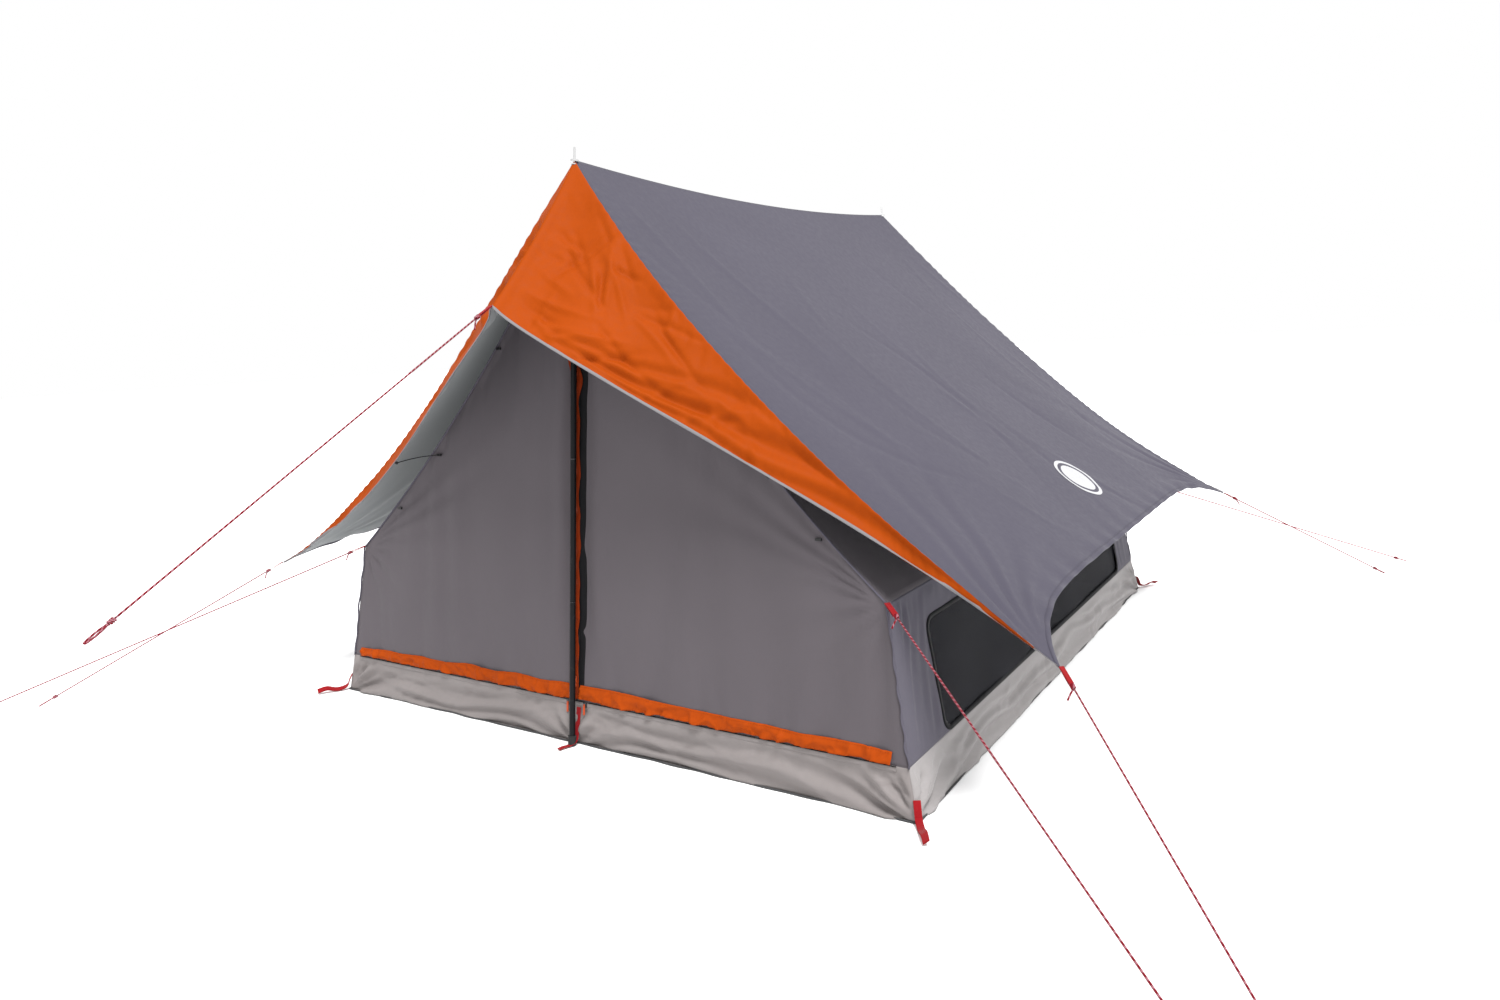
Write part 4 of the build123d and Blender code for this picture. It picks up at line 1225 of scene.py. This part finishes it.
def route_points(points):
    """Points along the smooth NURBS line through a cord's route."""
    curve = bpy.data.curves.new("route", "CURVE")
    curve.dimensions = "3D"
    spline = curve.splines.new("NURBS")
    spline.points.add(len(points) - 1)
    for place, point in zip(spline.points, points):
        place.co = (*point, 1)
    spline.order_u = 3
    spline.use_endpoint_u = True
    holder = bpy.data.objects.new("route", curve)
    scene.collection.objects.link(holder)
    depsgraph = bpy.context.evaluated_depsgraph_get()
    mesh = bpy.data.meshes.new_from_object(holder.evaluated_get(depsgraph), depsgraph=depsgraph)
    found = np.array([v.co for v in mesh.vertices])
    bpy.data.objects.remove(holder)
    bpy.data.meshes.remove(mesh)
    return found


def coil_path(start, direction, radius, turns, length, steps=18):
    """A helix about a straight line."""
    direction = np.asarray(direction, float)
    _, side, up = frames_along(np.array([start, start + direction]))
    angle = np.linspace(0, 2 * pi * turns, int(steps * turns) + 1)
    along = np.linspace(0, length, len(angle))
    return (
        np.asarray(start) + direction * along[:, None]
        + side[0] * radius * np.cos(angle)[:, None] + up[0] * radius * np.sin(angle)[:, None]
    )


def make_guy(name, anchor, hand, end, angles, length, tab_width):
    """One guy line: its webbing tab, knot with a tail, rope, and the tied eye at its end."""
    direction = guy_direction(angles, hand, end)
    level = unit(np.array([direction[1], -direction[0], 0.0]))
    above = np.cross(level, direction)
    knot_at = anchor + direction * TAB_LENGTH
    rope_at = knot_at + direction * KNOT_LENGTH
    eye_at = rope_at + direction * (length + KNOT_LENGTH)

    bend = 0.0022
    reach = TAB_LENGTH + 0.004
    loop = [anchor - direction * 0.006 + above * 0.0008, anchor + direction * 0.012 + above * 0.0014]
    loop += [
        anchor + direction * (reach - bend + bend * cos(a)) + above * bend * sin(a)
        for a in np.linspace(pi / 2, -pi / 2, 9)
    ]
    loop += [anchor + direction * 0.012 - above * 0.0014, anchor - direction * 0.006 - above * 0.0008]
    tab = strap(f"tab_{name}", loop, tab_width, 0.0013, level)

    wrap = coil_path(knot_at, direction, KNOT_RADIUS - ROPE_RADIUS, KNOT_TURNS, KNOT_LENGTH - 0.001)
    tail_way = unit(direction * 0.35 + level * hand * 0.8 - np.array([0, 0, 0.5]))
    tail_end = wrap[-1] + tail_way * 0.019 - np.array([0, 0, 0.006])
    tail = smooth_path([wrap[-1], wrap[-1] + tail_way * 0.008, tail_end], 8)
    knot = sweep(f"knot_{name}", np.vstack([wrap[:-1], tail]), ring(ROPE_RADIUS), RED_ROPE)
    mount(knot, "tent", "rope_red")

    path = route_points([rope_at, rope_at + direction * length / 2, rope_at + direction * length])
    rope = sweep(f"rope_{name}", path, ring(ROPE_RADIUS, 10), RED_ROPE)
    mount(rope, "tent", "rope_red", f"guy_{name}")

    end_at = eye_at - direction * KNOT_LENGTH
    wrap = coil_path(end_at, direction, KNOT_RADIUS - ROPE_RADIUS, KNOT_TURNS, KNOT_LENGTH - 0.001)
    end_knot = tube(f"eye_knot_{name}", wrap, ring(ROPE_RADIUS), RED_ROPE)
    half = EYE_WIDTH / 2 - ROPE_RADIUS
    far = EYE_LENGTH - 2 * ROPE_RADIUS
    outline = [(0.0, 0.001), (0.012, half * 0.8), (far * 0.6, half), (far - 0.002, half * 0.6), (far, 0.0)]
    outline += [(a, -b) for a, b in outline[-2::-1]]
    eye_path = smooth_path([eye_at + direction * a + level * b for a, b in outline], 6)
    eye = tube(f"eye_{name}", eye_path, ring(ROPE_RADIUS), RED_ROPE)
    return tab, knot, end_knot, eye


def make_guys():
    """All ten guy lines."""
    shoulder_y = half_length(SHOULDER[1])
    fly_tabs, shoulder_tabs, knots, eyes, guys = [], [], [], [], []
    for end_name, end in ENDS.items():
        beak_at = np.array([0.0, end * (BEAK_TIP[1] + 0.005), BEAK_TIP[2]])
        guys.append((f"beak_{end_name}", beak_at, 0, end, BEAK_GUY))
        for hand_name, hand in HANDS.items():
            fly_at = np.array([hand * (FLY_CORNER[0] + 0.003), end * FLY_CORNER[1], FLY_CORNER[2]])
            inner_at = np.array([hand * (SHOULDER[0] + 0.004), end * (shoulder_y + 0.004), SHOULDER[1]])
            guys.append((f"corner_{end_name}_{hand_name}", fly_at, hand, end, CORNER_GUY))
            guys.append((f"shoulder_{end_name}_{hand_name}", inner_at, hand, end, SHOULDER_GUY))
    for name, anchor, hand, end, angles in guys:
        start = anchor + guy_direction(angles, hand, end) * (TAB_LENGTH + KNOT_LENGTH)
        reach = start[2] / sin(radians(angles[1])) - KNOT_LENGTH - EYE_LENGTH - 0.005
        length = BEAK_GUY_LENGTH if name.startswith("beak") else reach
        width = 0.013 if name.startswith("shoulder") else 0.010
        tab, knot, end_knot, eye = make_guy(name, anchor, hand, end, angles, length, width)
        (shoulder_tabs if name.startswith("shoulder") else fly_tabs).append(tab)
        knots.append(knot)
        eyes.append(eye)
    stand_ins = {"fly_tabs": fly_tabs, "shoulder_tabs": shoulder_tabs, "guy_knots": knots, "guy_eyes": eyes}
    for node, pieces in stand_ins.items():
        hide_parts(node)


def make_peg_loops():
    """Webbing at the tub's corners: sewn up the corner, then out to a loop on the ground."""
    way = unit(np.array([0.55, -0.84, 0.0]))
    for end_name, end in ENDS.items():
        for hand_name, hand in HANDS.items():
            flip = np.array([hand, -end, 1.0])
            side = unit(np.array([0.84, 0.55, 0.0])) * flip
            foot = np.array([1.0, -1.1, 0.0])
            path = [
                foot + (-0.006, 0.009, 0.050), foot + (-0.001, 0.001, 0.034),
                foot + way * 0.010 + (0, 0, 0.012), foot + way * 0.040 + (0, 0, 0.006),
                foot + way * 0.070 + (0, 0, 0.014), foot + way * 0.098 + (0, 0, 0.009),
            ]
            path = smooth_path(np.array(path) * flip, 10)
            twist = np.linspace(0, 1, len(path))[:, None]
            across = unit(side * (1 - 0.35 * twist) + np.array([0, 0, 0.5]) * twist)
            lower = strap(f"peg_loop_{end_name}_{hand_name}", path, 0.017, 0.0016, across)
            back = path[18:] + np.array([0, 0, 0.0022])
            strap(f"peg_loop_back_{end_name}_{hand_name}", back, 0.017, 0.0014, across[18:])
    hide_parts("corner_peg_loops")


def make_pole_straps():
    """The strap from the tub down to the pole's foot, and the short peg loop in front of it."""
    for end_name, end in ENDS.items():
        path = [
            end_wall(0.007, 0.100, 0.0018), end_wall(0.007, 0.075, 0.004), (0.007, -1.104, 0.040),
            (0.006, -1.112, 0.014), (0.001, -1.128, 0.005), (-0.006, -1.146, 0.005), (-0.010, -1.162, 0.004),
        ]
        path = smooth_path(np.array(path) * np.array([1, -end, 1]), 10)
        piece = strap(f"pole_strap_web_{end_name}", path, 0.015, 0.0016, (1, 0, 0))
    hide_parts("pole_straps")


def make_elastics():
    """The black elastic from a toggle on each front slope edge to the fly's free edge."""
    for hand_name, hand in HANDS.items():
        low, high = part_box(f"fly_elastic_{hand_name}")
        inner_x = low.x if hand > 0 else high.x
        outer_x = high.x if hand > 0 else low.x
        start = np.array([inner_x + hand * 0.001, high.y - 0.001, high.z - 0.0015])
        stop = np.array([outer_x - hand * 0.001, low.y + 0.001, low.z + 0.0015])
        middle = (start + stop) / 2 + np.array([0, 0, 0.008])
        path = route_points([start, middle, stop])
        cord = sweep(f"elastic_{hand_name}", path, ring(ELASTIC_RADIUS), ELASTIC)
        mount(cord, "tent", "elastic_black", f"fly_elastic_{hand_name}")


make_guys()
make_peg_loops()
make_pole_straps()
make_elastics()

# ---- CAD pieces that stay, with their materials
FINISHES = {
    "front_pole_sections": POLE_BLACK, "rear_pole_sections": POLE_BLACK, "pole_ferrules": ALLOY, "pole_feet": RUBBER,
    "pole_spikes": STEEL, "peak_rings": BLACK_WEBBING, "fly_grommets": STEEL, "elastic_toggles": TOGGLE_BLACK,
}
for zip_name in ("door", "left", "right"):
    FINISHES[f"zip_slider_{zip_name}"] = SLIDER_METAL
    FINISHES[f"zip_pull_{zip_name}"] = PULL_ORANGE
for name, material in FINISHES.items():
    for place in nodes[name].material_slots:
        place.material = material
